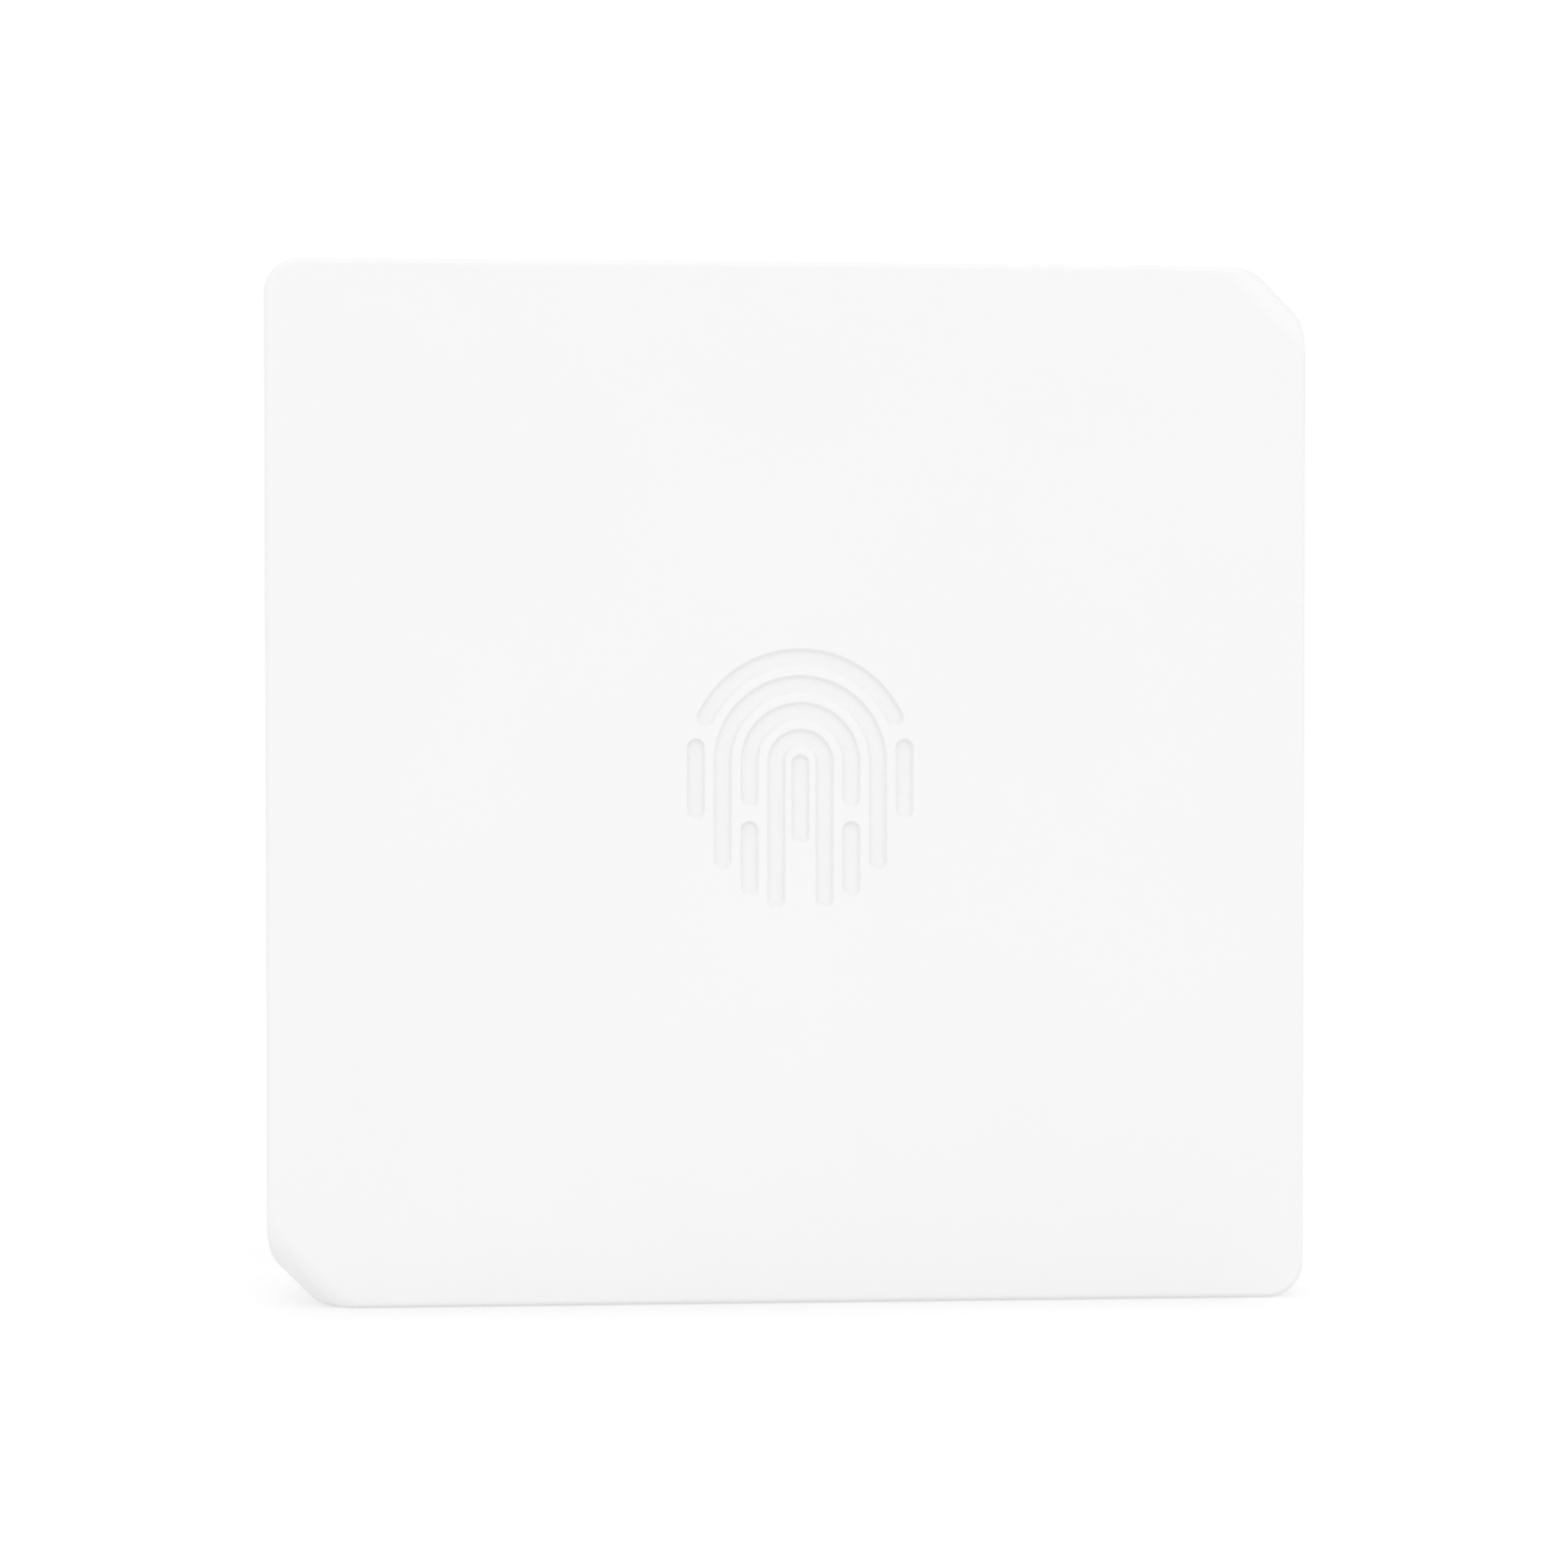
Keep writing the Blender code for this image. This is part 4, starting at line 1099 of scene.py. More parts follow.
def legend():
    """Ink outlines round the parts, with a dot at each chip's first leg."""
    front = (BOARD_FRONT - 0.03, BOARD_FRONT + 0.05)
    back = (BOARD_BACK - 0.05, BOARD_BACK + 0.03)
    frames = [(-4.0, 12.5, 5.0, 5.0, front), (8.0, 12.5, 3.0, 3.0, front), (15.5, 12.5, 3.0, 2.1, front),
              (-20.05, 12.55, 4.7, 4.7, front), (24.0, 12.5, 3.5, 3.5, front), (14.0, 22.0, 4.4, 3.6, back),
              (13.8, 32.8, 6.4, 6.4, back), (-7.75, 43.6, 11.3, 4.1, back), (14.0, 44.0, 4.2, 3.8, back)]
    made = []
    for x, z, half_x, half_z, (near, far) in frames:
        rings = []
        for grow, depth in ((0.0, near), (0.16, near), (0.16, far), (0.0, far)):
            points = rounded(half_x + grow, half_z + grow, 0.3 + grow, (x, z), 2)
            rings.append([at(px, depth, pz) for px, pz in points])
        made.append(drawn("outline", rings, closed=True))
    for x, z in ((-9.6, 17.9), (4.4, 15.6)):
        made.append(turned("dot", (x, z), [(0.28, front[0]), (0.28, front[1])], sides=16))
    fit(smooth(join(made, "legend")), "housing", "white_plastic", PRINT)


FRONT_SMALL = [(1.7, 46.4), (-0.5, 46.4), (1.7, 40.6), (-0.5, 40.6), (-14.2, 76.8), (-9.0, 76.8),
               (12.4, 76.8), (17.8, 76.8), (-12.6, 15.6), (-12.6, 13.4), (-12.6, 11.2), (-12.6, 9.0),
               (1.8, 17.4), (-2.4, 18.2), (-5.6, 18.2), (3.4, 7.4), (6.2, 7.4), (9.0, 7.4),
               (12.6, 16.4), (15.6, 16.4), (18.6, 16.4), (20.2, 18.2)]
BACK_SMALL = [(-16.0, 22.6), (-16.0, 20.4), (-12.4, 22.6), (-12.4, 20.4), (-8.0, 23.4), (-4.4, 23.4),
              (-0.8, 25.6), (5.6, 29.2), (5.6, 31.4), (5.6, 33.6), (5.6, 35.8), (18.6, 24.2)]


def small_part(name, x, z, seat, half_x, half_z, tall):
    """A surface part's body, on the front or the back of the board."""
    toward = -1 if seat < BOARD_BACK - 0.5 else 1
    near, far = sorted((seat + toward * 0.05, seat + toward * tall))
    return block(name, (x - half_x, near, z - half_z), (x + half_x, far, z + half_z), 0.06, 2)


def small_parts():
    """Resistors and capacitors: every third one is a resistor, black and flatter."""
    bodies = {"resistors": [], "ceramic_capacitors": []}
    ends = []
    for spots, seat in ((FRONT_SMALL, BOARD_FRONT), (BACK_SMALL, BOARD_BACK)):
        toward = -1 if seat == BOARD_FRONT else 1
        for number, (x, z) in enumerate(spots):
            kind = "resistors" if number % 3 == 1 else "ceramic_capacitors"
            tall = 0.42 if kind == "resistors" else 0.5
            bodies[kind].append(small_part("part", x, z, seat, 0.56, 0.4, tall))
            for side in (-1, 1):
                ends.append(small_part("end", x + side * 0.66, z, seat, 0.17, 0.42, tall + 0.03))
                near, far = sorted((seat, seat + toward * 0.1))
                ends.append(block("solder", (x + side * 0.86 - 0.22, near, z - 0.4),
                                  (x + side * 0.86 + 0.22, far, z + 0.4), 0.05, 2))
    fit(smooth(join(bodies["resistors"], "resistors")), "housing", "chip_epoxy", EPOXY)
    fit(smooth(join(bodies["ceramic_capacitors"], "ceramic_capacitors")), "housing", "ferrite", CERAMIC)
    fit(smooth(join(ends, "part_ends")), "housing", "plated_can", TIN)


def gull_leg(centre, quarter, offset, body, tall, width=0.3):
    """A leg that leaves a chip's side half way up and bends down to a foot on the board."""
    top = FRONT_SEAT - tall
    foot = FRONT_SEAT - 0.03
    run = [(body - 0.1, top), (body + 0.3, top), (body + 0.52, foot), (body + 1.0, foot)]
    return strip("leg", softened(run, 0.13, 3, closed=False), 0.13, width, centre, quarter, offset)


def microcontroller():
    centre = (-4.0, 12.5)
    tall = 1.3
    rings = []
    for shrink, rise in ((0.14, 0.12), (0.08, 0.12), (0.0, 0.66), (0.08, 1.24), (0.14, tall)):
        points = rounded(3.5 - shrink, 3.5 - shrink, 0.25, centre, 3)
        rings.append([at(x, FRONT_SEAT - rise, z) for x, z in points])
    body = drawn("controller_body", rings)
    cut(body, turned("first_leg_mark", (-6.6, 15.1), [(0.35, 5.1), (0.3, 5.28)], sides=20))
    cut(body, turned("mould_mark", (-1.8, 10.3), [(0.6, 5.1), (0.56, 5.25)], sides=24))
    fit(smooth(body, 25), "housing", "chip_epoxy", EPOXY, "microcontroller")
    legs = [gull_leg(centre, quarter, (i - 3.5) * 0.8, 3.5, 0.66) for quarter in range(4) for i in range(8)]
    fit(smooth(join(legs, "controller_legs")), "housing", "plated_can", TIN)


def reader_chip():
    centre = (8.0, 12.5)
    body = ease(plate("reader_body", rounded(2.5, 2.5, 0.1, centre, 2), FRONT_SEAT - 0.9, FRONT_SEAT), 0.05)
    cut(body, turned("first_pad_mark", (6.1, 14.4), [(0.25, 5.5), (0.22, 5.66)], sides=20))
    fit(smooth(body, 25), "housing", "chip_epoxy", EPOXY, "reader_chip")
    pads = []
    for quarter in range(4):
        for i in range(8):
            run = [(2.3, FRONT_SEAT - 0.02), (2.72, FRONT_SEAT - 0.02)]
            pads.append(strip("pad", run, 0.16, 0.26, centre, quarter, (i - 3.5) * 0.5))
    fit(smooth(join(pads, "reader_pads")), "housing", "plated_can", TIN)


def crystal():
    centre = (15.5, 12.5)
    rings = []
    for half_x, half_z, rise in ((2.5, 1.6, 0.0), (2.5, 1.6, 0.3), (2.32, 1.42, 0.32), (2.26, 1.36, 0.4),
                                 (2.22, 1.32, 0.88), (2.16, 1.26, 0.96), (2.06, 1.16, 1.0)):
        rings.append([at(x, FRONT_SEAT - rise, z) for x, z in rounded(half_x, half_z, 0.5, centre, 5)])
    fit(smooth(drawn("crystal_can", rings), 30), "housing", "plated_can", CAN, "crystal")


def buzzer():
    x, z = -20.05, 12.55
    half = 4.25
    rings = []
    for shrink, rise in ((0.1, 0.0), (0.0, 0.1), (0.0, 1.0), (0.15, 1.05), (0.15, 2.6), (0.35, 2.92),
                         (0.6, 3.0)):
        square = rounded(half - shrink, half - shrink, 0.7, (x, z))
        rings.append([at(px, FRONT_SEAT - rise, pz) for px, pz in square])
    body = drawn("buzzer_body", rings)
    top = FRONT_SEAT - 3.0
    groove = [(3.3, top - 0.1), (3.3, top + 0.12), (2.95, top + 0.12), (2.95, top - 0.1)]
    cut(body, turned("ring_groove", (x, z), groove, closed=True))
    hole = [(1.15, top - 0.1), (1.0, top + 0.15), (1.0, top + 1.5)]
    cut(body, turned("sound_hole", (x, z), hole, sides=32))
    fit(smooth(body, 30), "housing", "black_plastic", BLACK, "buzzer")
    feet = []
    for side in (-1, 1):
        run = [(half - 0.4, FRONT_SEAT - 0.02), (half + 0.4, FRONT_SEAT - 0.02)]
        feet += [strip("foot", run, 0.14, 1.2, (x, z), 1 + side, offset) for offset in (-2.4, 2.4)]
    fit(smooth(join(feet, "buzzer_feet")), "housing", "plated_can", TIN)


def power_inductor():
    centre = (24.0, 12.5)
    top = FRONT_SEAT - 3.0
    body = ease(plate("inductor_shield", rounded(3.0, 3.0, 1.0, centre), top, FRONT_SEAT), 0.18, 3)
    gap = [(2.35, top - 0.1), (2.35, top + 0.5), (2.1, top + 0.5), (2.1, top - 0.1)]
    cut(body, turned("core_gap", centre, gap, closed=True))
    fit(smooth(body, 30), "housing", "ferrite", EPOXY, "power_inductor")
    feet = [strip("foot", [(2.6, FRONT_SEAT - 0.01), (3.3, FRONT_SEAT - 0.01)], 0.14, 3.0, centre, quarter)
            for quarter in (1, 3)]
    fit(smooth(join(feet, "inductor_feet")), "housing", "plated_can", TIN)


def filter_capacitors():
    for number, x in enumerate((-28.0, 29.5), 1):
        spot = (x, 12.5)
        low = FRONT_SEAT - 0.55
        profile = [(1.9, low), (2.0, low - 0.12), (2.0, low - 0.45), (1.86, low - 0.6), (1.86, low - 0.75),
                   (2.0, low - 0.9), (2.0, 2.85), (1.93, 2.62), (1.75, 2.5), (1.6, 2.52)]
        can = turned(f"capacitor_can_{number}", spot, profile, sides=48)
        for turn in (0, 60, 120):
            c, s = math.cos(math.radians(turn)) * 1.2, math.sin(math.radians(turn)) * 1.2
            vent = stroke_outline([(x - c, 12.5 - s), (x + c, 12.5 + s)], 0.05)
            cut(can, plate("vent", vent, 2.3, 2.56))
        fit(smooth(can, 30), "housing", "plated_can", CAN, f"filter_capacitor_{number}")
        base = rounded(2.12, 2.12, 0.5, spot, 1)
        fit(smooth(ease(plate(f"capacitor_base_{number}", base, low + 0.02, FRONT_SEAT), 0.08)),
            "housing", "black_plastic", BLACK)
        sector = arc(spot, 1.62, 125, 235, 12)
        fit(smooth(plate(f"capacitor_mark_{number}", sector, 2.495, 2.53)), "housing", "black_plastic", BLACK)


# ------------------------------------------------------------------ antenna, touch area and lights

def antenna_coil():
    """Wound wire, six turns across and four deep, bound with tape."""
    turns = []
    for layer in range(4):
        for column in range(6):
            inset = 0.25 + 2 * WIRE_GAUGE * column
            depth = COIL_FRONT + WIRE_GAUGE * (1 + 2 * layer)
            rings = []
            for k in range(8):
                angle = 2 * math.pi * k / 8
                in_by = inset + 0.196 * math.cos(angle)
                points = rounded(30 - in_by, 25 - in_by, 6 - in_by, COIL_MIDDLE, 8)
                rings.append([at(x, depth + 0.196 * math.sin(angle), z) for x, z in points])
            turns.append(drawn("turn", rings, closed=True))
    for x in (6.0, 10.0):
        run = [(x, 5.4, 21.2), (x, 5.5, 19.9), (x, 5.7, 18.9), (x, 6.3, 18.3), (x, 6.36, 17.5)]
        turns.append(wire("lead", softened(run, 0.5, 4, closed=False), WIRE_GAUGE))
    fit(smooth(join(turns, "wound_coil"), 60), "housing", "copper", ENAMELLED, "antenna_coil")

    blobs = []
    for x in (6.0, 10.0):
        dome = [(0.75, 6.58), (0.72, 6.45), (0.55, 6.25), (0.3, 6.12), (0.1, 6.08)]
        blobs.append(turned("blob", (x, 17.7), dome, sides=24))
    fit(smooth(join(blobs, "solder_joints"), 60), "housing", "plated_can", TIN)

    bands = []
    middle_depth = COIL_FRONT + 0.8
    for quarter in range(4):
        c, s = ((1, 0), (0, 1), (-1, 0), (0, -1))[quarter]
        away = 28.75 if quarter % 2 == 0 else 23.75
        rings = []
        for across, grow in ((-2.5, 0.04), (2.5, 0.04), (2.5, 0.0), (-2.5, 0.0)):
            ring = []
            for reach, rise in rounded(1.25 + grow, 0.81 + grow, 0.3):
                u = away + reach
                ring.append(at(COIL_MIDDLE[0] + c * u - s * across, middle_depth + rise,
                               COIL_MIDDLE[1] + s * u + c * across))
            rings.append(ring)
        bands.append(drawn("band", rings, closed=True))
    fit(smooth(join(bands, "coil_tape")), "housing", "clear_plastic", TAPE)


def ferrite_sheet():
    sheet = plate("ferrite_foil", rounded(31, 26, 1.5, COIL_MIDDLE), 5.9, 6.4)
    cut(sheet, turned("window", SYMBOL_CENTRE, [(14.0, 5.0), (14.0, 7.0)], sides=96))
    ease(sheet, 0.08)
    fit(smooth(sheet), "housing", "ferrite", FERRITE, "ferrite_sheet")


def light_guide():
    """A diffusing disc with fine rings cut in its back."""
    profile = [(0.4, 2.2), (12.8, 2.2), (13.2, 2.28), (13.42, 2.5), (13.5, 2.8), (13.5, 3.5),
               (13.4, 3.74), (13.1, 3.8)]
    radius = 12.6
    while radius > 1.5:
        profile += [(radius, 3.8), (radius - 0.35, 3.6), (radius - 0.7, 3.8)]
        radius -= 0.9
    profile.append((0.4, 3.8))
    fit(smooth(turned("diffuser_disc", SYMBOL_CENTRE, profile, sides=96), 30),
        "cover", "clear_plastic", DIFFUSER, "light_guide")


def touch_electrode():
    """A copper ring on a foil, with a gap between its ends."""
    ring = [(10.1, 4.14), (10.16, 4.2), (12.84, 4.2), (12.9, 4.14), (12.9, 4.06), (10.1, 4.06)]
    copper = turned("touch_ring", SYMBOL_CENTRE, ring, sides=128, closed=True)
    x, z = SYMBOL_CENTRE
    cut(copper, block("ring_gap", (x - 14, 3.8, z - 0.5), (x - 9, 4.5, z + 0.5)))
    fit(smooth(copper), "cover", "copper", COPPER)
    foil = [(9.95, 4.0), (13.05, 4.0), (13.05, 4.05), (9.95, 4.05)]
    made = turned("ring_foil", SYMBOL_CENTRE, foil, sides=96, closed=True)
    fit(smooth(made), "cover", "clear_plastic", TAPE, "touch_electrode")


def touch_spring():
    spot = (SYMBOL_CENTRE[0] + 11.5, SYMBOL_CENTRE[1])
    fit(smooth(coil_spring("contact_spring", spot, 1.2, 0.17, 4.45, 6.5, 5), 60),
        "housing", "spring_steel", SPRING, "touch_spring")
    land = [(0.3, 6.5), (1.6, 6.5), (1.6, 6.62), (0.3, 6.62)]
    fit(smooth(turned("spring_land", spot, land, closed=True)), "housing", "brass", GOLD)


def status_leds():
    lenses = []
    legs = []
    for number in range(4):
        angle = math.radians(45 + 90 * number)
        x = SYMBOL_CENTRE[0] + 7.5 * math.cos(angle)
        z = SYMBOL_CENTRE[1] + 7.5 * math.sin(angle)
        rings = []
        for shrink, rise in ((0.0, 0.0), (0.0, 0.5), (0.05, 0.52), (0.08, 1.02), (0.14, 1.1)):
            points = rounded(1.6 - shrink, 1.4 - shrink, 0.15, (x, z), 3)
            rings.append([at(px, FRONT_SEAT - rise, pz) for px, pz in points])
        body = drawn(f"light_body_{number + 1}", rings)
        cut(body, turned("cup", (x, z), [(1.18, 5.3), (1.15, 5.41), (0.85, 6.05)], sides=32))
        cut(body, turned("corner_mark", (x + 1.6, z + 1.4), [(0.4, 5.2), (0.4, 5.6)], sides=4))
        fit(smooth(body, 30), "housing", "white_plastic", WHITE, f"status_led_{number + 1}")
        dome = [(0.84, 6.04), (1.13, 5.46), (0.8, 5.49), (0.3, 5.51)]
        lenses.append(turned("gel", (x, z), dome, sides=32))
        for side in (0, 2):
            for offset in (-0.7, 0.7):
                run = softened([(1.4, 5.9), (1.68, 5.9), (1.68, 6.44), (1.3, 6.52)], 0.08, 2, False)
                legs.append(strip("leg", run, 0.12, 0.6, (x, z), side, offset))
    fit(smooth(join(lenses, "light_gel"), 60), "housing", "clear_plastic", GEL)
    fit(smooth(join(legs, "light_legs")), "housing", "plated_can", TIN)


# ------------------------------------------------------------------ terminals and switches

def terminal_block():
    low, high = -18.5, 3.0
    top = 15.9
    spots = [(-16.5 + 3.5 * i, 44.2) for i in range(6)]
    section = [(40.0, BACK_SEAT), (40.0, 14.3), (40.9, 15.6), (41.6, top), (46.9, top), (47.2, 15.6),
               (47.2, BACK_SEAT)]
    section = softened(section, 0.25, 3)
    body = drawn("terminal_body", [[at(x, depth, z) for z, depth in section] for x in (low, high)])
    ease(body, 0.1, 2, 60)
    for x, z in spots:
        well = [(1.55, top + 0.6), (1.55, top), (1.4, top - 0.2), (1.4, 12.6)]
        cut(body, turned("well", (x, z), well, sides=32))
        entry = [at(x + px, 10.5 + pd, 38.5) for px, pd in rounded(1.35, 1.45, 0.3)]
        throat = [at(x + px, 10.5 + pd, 40.6) for px, pd in rounded(1.1, 1.2, 0.2)]
        end = [at(x + px, 10.5 + pd, 45.6) for px, pd in rounded(1.1, 1.2, 0.2)]
        cut(body, drawn("entry", [entry, throat, end]))
    for i in range(7):
        x = -18.25 + 3.5 * i
        for z in (40.0, 47.2):
            cut(body, block("way_groove", (x - 0.12, BACK_SEAT - 1, z - 0.15), (x + 0.12, top + 1, z + 0.15)))
    fit(smooth(body, 30), "housing", "terminal_plastic", GREEN, "terminal_block")

    cages = []
    pins = []
    for number, (x, z) in enumerate(spots, 1):
        rings = []
        for half_x, half_d, end in ((1.02, 1.12, 41.2), (1.02, 1.12, 45.4), (0.85, 0.95, 45.4),
                                    (0.85, 0.95, 41.2)):
            rings.append([at(x + px, 10.5 + pd, end) for px, pd in rounded(half_x, half_d, 0.15, steps=3)])
        cages.append(drawn("cage", rings, closed=True))
        head = [(0.9, 12.9), (1.14, 13.0), (1.2, 13.15), (1.2, 14.15), (1.1, 14.34), (0.9, 14.4)]
        made = turned(f"clamp_screw_{number}", (x, z), head, sides=32)
        cut(made, block("slot", (x - 2, 13.8, z - 0.22), (x + 2, 15, z + 0.22)))
        fit(smooth(made, 30), "housing", "screw_steel", SCREW, f"terminal_screw_{number}")
        pins.append(block("pin", (x - 0.35, 8.05, 43.1), (x + 0.35, 9.0, 43.8), 0.08, 2))
    fit(smooth(join(cages, "clamp_cages")), "housing", "screw_steel", TIN)
    fit(smooth(join(pins, "terminal_pins")), "housing", "plated_can", TIN)


def dip_switch():
    low, high, far = 8.0, 19.6, 13.3
    body = block("switch_bank", (low, BACK_SEAT, 28.0), (high, far, 37.6), 0.18)
    cut(body, block("face_step", (low - 1, far - 0.35, 27), (high + 1, far + 1, 29.6)))
    legs = []
    for number in range(4):
        x = low + 2.0 + 2.54 * number
        slot = rounded(0.75, 1.7, 0.12, (x, 32.7), 3)
        cut(body, plate("slot", slot, far - 2.2, far + 1))
        cut(body, plate("step_mark", rounded(0.35, 0.35, 0.1, (x, 36.0), 2), far - 0.15, far + 1))
        knob = block(f"bank_slider_{number + 1}", (x - 0.5, far - 1.9, 31.4),
                     (x + 0.5, far + 0.3, 32.6), 0.1, 3)
        cut(knob, block("grip", (x - 1, far + 0.15, 31.9), (x + 1, far + 1, 32.1)))
        fit(smooth(knob, 30), f"slider_{number + 1}", "white_plastic", WHITE, f"dip_slider_{number + 1}")
        for quarter in (1, 3):
            run = softened([(4.6, 10.4), (5.1, 10.4), (5.1, BACK_SEAT)], 0.25, 4, False)
            offset = x - 13.8 if quarter == 3 else 13.8 - x
            legs.append(strip("leg", run, 0.24, 0.9, (13.8, 32.8), quarter, offset))
    fit(smooth(body, 30), "housing", "switch_plastic", RED, "dip_switch")
    fit(smooth(join(legs, "bank_legs")), "housing", "plated_can", TIN)


def program_switch():
    x, z = PROGRAM_AT
    far = 11.8
    shell = ease(plate("key_frame", rounded(3.0, 3.0, 0.35, PROGRAM_AT, 4), far - 0.45, far), 0.12)
    hole = [(2.0, far - 1), (2.0, far - 0.2), (2.15, far + 0.1)]
    cut(shell, turned("frame_hole", PROGRAM_AT, hole, sides=48))
    base = block("key_base", (x - 2.85, BACK_SEAT, z - 2.85), (x + 2.85, far - 0.42, z + 2.85), 0.12)
    cut(base, turned("base_hole", PROGRAM_AT, [(2.0, far - 2.4), (2.0, far + 1)], sides=48))
    fit(smooth(shell, 30), "housing", "plated_can", CAN, "program_switch")
    fit(smooth(base, 30), "housing", "black_plastic", BLACK)
    rivets = []
    legs = []
    for side in (-1, 1):
        for rise in (-1, 1):
            rivet = [(0.42, far - 0.2), (0.42, far - 0.02), (0.3, far + 0.06), (0.1, far + 0.08)]
            rivets.append(turned("rivet", (x + side * 2.25, z + rise * 2.25), rivet, sides=20))
        for offset in (-2.2, 2.2):
            run = softened([(2.6, 9.6), (3.3, 9.6), (3.5, BACK_SEAT)], 0.3, 4, False)
            quarter = 0 if side > 0 else 2
            legs.append(strip("leg", run, 0.22, 0.7, PROGRAM_AT, quarter, offset))
    fit(smooth(join(rivets, "key_rivets"), 30), "housing", "black_plastic", BLACK)
    fit(smooth(join(legs, "key_legs")), "housing", "plated_can", TIN)
    cap = [(1.7, far - 1.6), (1.7, far + 1.2), (1.64, far + 1.4), (1.5, far + 1.54), (1.3, far + 1.6),
           (0.3, far + 1.57)]
    fit(smooth(turned("key_cap", PROGRAM_AT, cap), 40), "program", "black_plastic", BLACK, "program_button")


def tamper_switch():
    x, z = TAMPER_AT
    far = 14.5
    body = block("tamper_body", (x - 3.2, BACK_SEAT, z - 3.2), (x + 3.2, far, z + 3.2), 0.25)
    for side in (-1, 1):
        low, high = sorted((x + side * 2.9, x + side * 4))
        cut(body, block("flat", (low, 11.6, z - 4), (high, far + 1, z + 4)))
    chamber = [(2.3, 9.0), (2.3, 13.4), (2.0, 13.6), (1.5, 13.6), (1.5, far - 0.2), (1.7, far + 0.05),
               (1.7, far + 1)]
    cut(body, turned("chamber", TAMPER_AT, chamber))
    fit(smooth(body, 30), "housing", "black_plastic", BLACK, "tamper_switch")
    legs = []
    for quarter in (0, 2):
        for offset in (-1.6, 1.6):
            run = softened([(3.0, 10.0), (3.5, 10.0), (3.7, BACK_SEAT)], 0.25, 4, False)
            legs.append(strip("leg", run, 0.22, 0.8, TAMPER_AT, quarter, offset))
    fit(smooth(join(legs, "tamper_legs")), "housing", "plated_can", TIN)
    pin = [(0.8, 12.5), (0.8, 12.7), (1.75, 12.5), (1.9, 12.65), (1.9, 13.15), (1.75, 13.3), (1.35, 13.3),
           (1.2, 13.45), (1.2, 18.7), (1.12, 19.1), (0.9, 19.36), (0.55, 19.48), (0.2, 19.5)]
    fit(smooth(turned("tamper_pin", TAMPER_AT, pin), 40), "tamper", "white_plastic", WHITE, "tamper_plunger")
    spring = smooth(coil_spring("return_spring", TAMPER_AT, 1.5, 0.13, 9.2, 12.35, 5), 60)
    fit(spring, "housing", "spring_steel", SPRING, "tamper_spring")
    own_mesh(spring)


# ------------------------------------------------------------------ studio

def sky():
    """A white dome, brightest in front; the camera itself sees an even backdrop."""
    world = bpy.data.worlds.new("studio")
    bpy.context.scene.world = world
    world.use_nodes = True
    nodes = world.node_tree.nodes
    links = world.node_tree.links
    dome = nodes["Background"]
    dome.inputs["Color"].default_value = (1, 1, 1, 1)
    toward = nodes.new("ShaderNodeTexCoord")
    axes = nodes.new("ShaderNodeSeparateXYZ")
    links.new(toward.outputs["Generated"], axes.inputs["Vector"])
    dim = nodes.new("ShaderNodeMapRange")
    dim.inputs["From Min"].default_value = -1.0
    dim.inputs["From Max"].default_value = 1.0
    dim.inputs["To Min"].default_value = SKY_FRONT
    dim.inputs["To Max"].default_value = SKY_BEHIND
    links.new(axes.outputs["Y"], dim.inputs["Value"])
    links.new(dim.outputs["Result"], dome.inputs["Strength"])
    backdrop = nodes.new("ShaderNodeBackground")
    backdrop.inputs["Color"].default_value = (1, 1, 1, 1)
    backdrop.inputs["Strength"].default_value = BACKDROP
    ray = nodes.new("ShaderNodeLightPath")
    choose = nodes.new("ShaderNodeMixShader")
    links.new(ray.outputs["Is Camera Ray"], choose.inputs["Fac"])
    links.new(dome.outputs["Background"], choose.inputs[1])
    links.new(backdrop.outputs["Background"], choose.inputs[2])
    links.new(choose.outputs["Shader"], nodes["World Output"].inputs["Surface"])


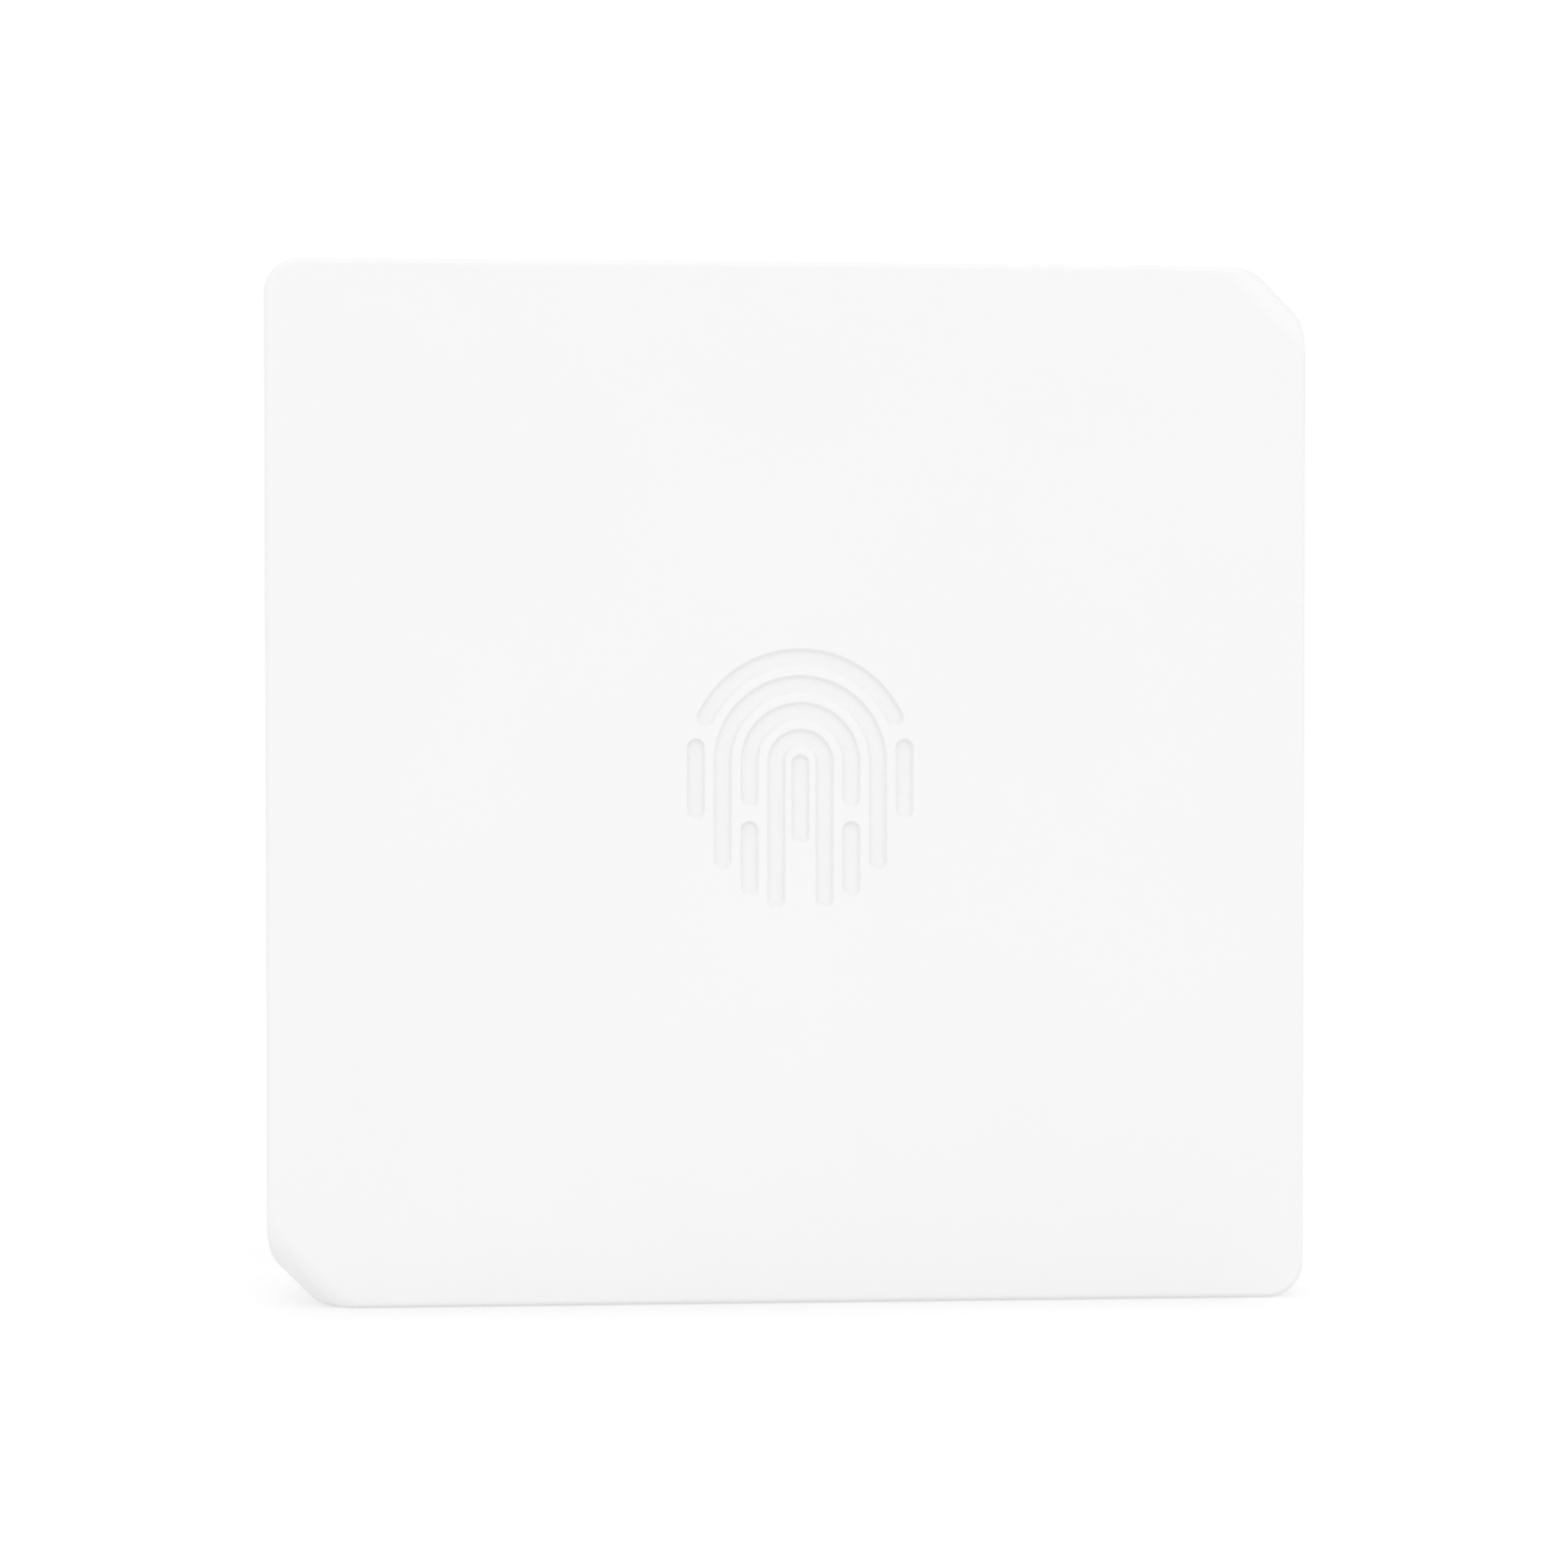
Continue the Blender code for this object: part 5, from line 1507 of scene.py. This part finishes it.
def card_finish():
    """A white card that glows, with a painted contact shadow: the glow is a little less within a few
    millimetres of the cover's foot.
    """
    card = Finish("white card with painted shadow", (CARD, CARD, CARD), 0.9)
    card.shader.inputs["Emission Color"].default_value = (1, 1, 1, 1)
    reach = card.place
    for operation, amount in (('SUBTRACT', (0, FRONT_Y, 0)), ('ABSOLUTE', None),
                              ('SUBTRACT', (HALF - 8, 0, 0)), ('MAXIMUM', (0, 0, 0))):
        step = card.nodes.new("ShaderNodeVectorMath")
        step.operation = operation
        if amount:
            step.inputs[1].default_value = amount
        card.links.new(reach, step.inputs[0])
        reach = step.outputs["Vector"]
    distance = card.nodes.new("ShaderNodeVectorMath")
    distance.operation = 'LENGTH'
    card.links.new(reach, distance.inputs[0])
    # Painted contact shadow: the card's glow is lowered near the cover's foot and rises to its full level a
    # few millimetres away
    glow = card.ranged(distance.outputs["Value"], PAINTED_SHADOW_GLOW, CARD_GLOW, 0, PAINTED_SHADOW_FADE)
    card.links.new(glow, card.shader.inputs["Emission Strength"])
    return card


def floor_card():
    bpy.ops.object.select_all(action='DESELECT')
    bpy.ops.mesh.primitive_circle_add(vertices=96, radius=4.0, fill_type='NGON')
    floor = bpy.context.object
    floor.name = "floor"
    paint(floor, card_finish())


def overhead_lamp():
    lamp = bpy.data.lights.new("overhead", 'SUN')
    lamp.energy = OVERHEAD
    lamp.angle = math.radians(OVERHEAD_SPREAD)
    made = bpy.data.objects.new("overhead", lamp)
    bpy.context.scene.collection.objects.link(made)
    made.rotation_euler = (-Vector(OVERHEAD_FROM)).to_track_quat('-Z', 'Y').to_euler()


def studio():
    sky()
    floor_card()
    overhead_lamp()
    bpy.context.scene.view_settings.view_transform = 'Standard'
    bpy.context.scene.view_settings.look = 'None'


def camera():
    lens = bpy.data.cameras.new("camera")
    lens.lens = LENS
    lens.sensor_width = 36
    lens.clip_start = 0.01
    made = bpy.data.objects.new("camera", lens)
    bpy.context.scene.collection.objects.link(made)
    made.location = at(*CAMERA_AT)
    made.rotation_euler = Euler((math.radians(90 + CAMERA_TILT), 0, math.radians(CAMERA_TURN)), 'XYZ')
    bpy.context.scene.camera = made


camera()
studio()
front_cover()
cover_seal()
rear_housing()
mounting_plate()
lock_parts()
screws()
main_board()
front_tracks()
back_tracks()
solder_pads()
legend()
small_parts()
microcontroller()
reader_chip()
crystal()
buzzer()
power_inductor()
filter_capacitors()
antenna_coil()
ferrite_sheet()
light_guide()
touch_electrode()
touch_spring()
status_leds()
terminal_block()
dip_switch()
program_switch()
tamper_switch()
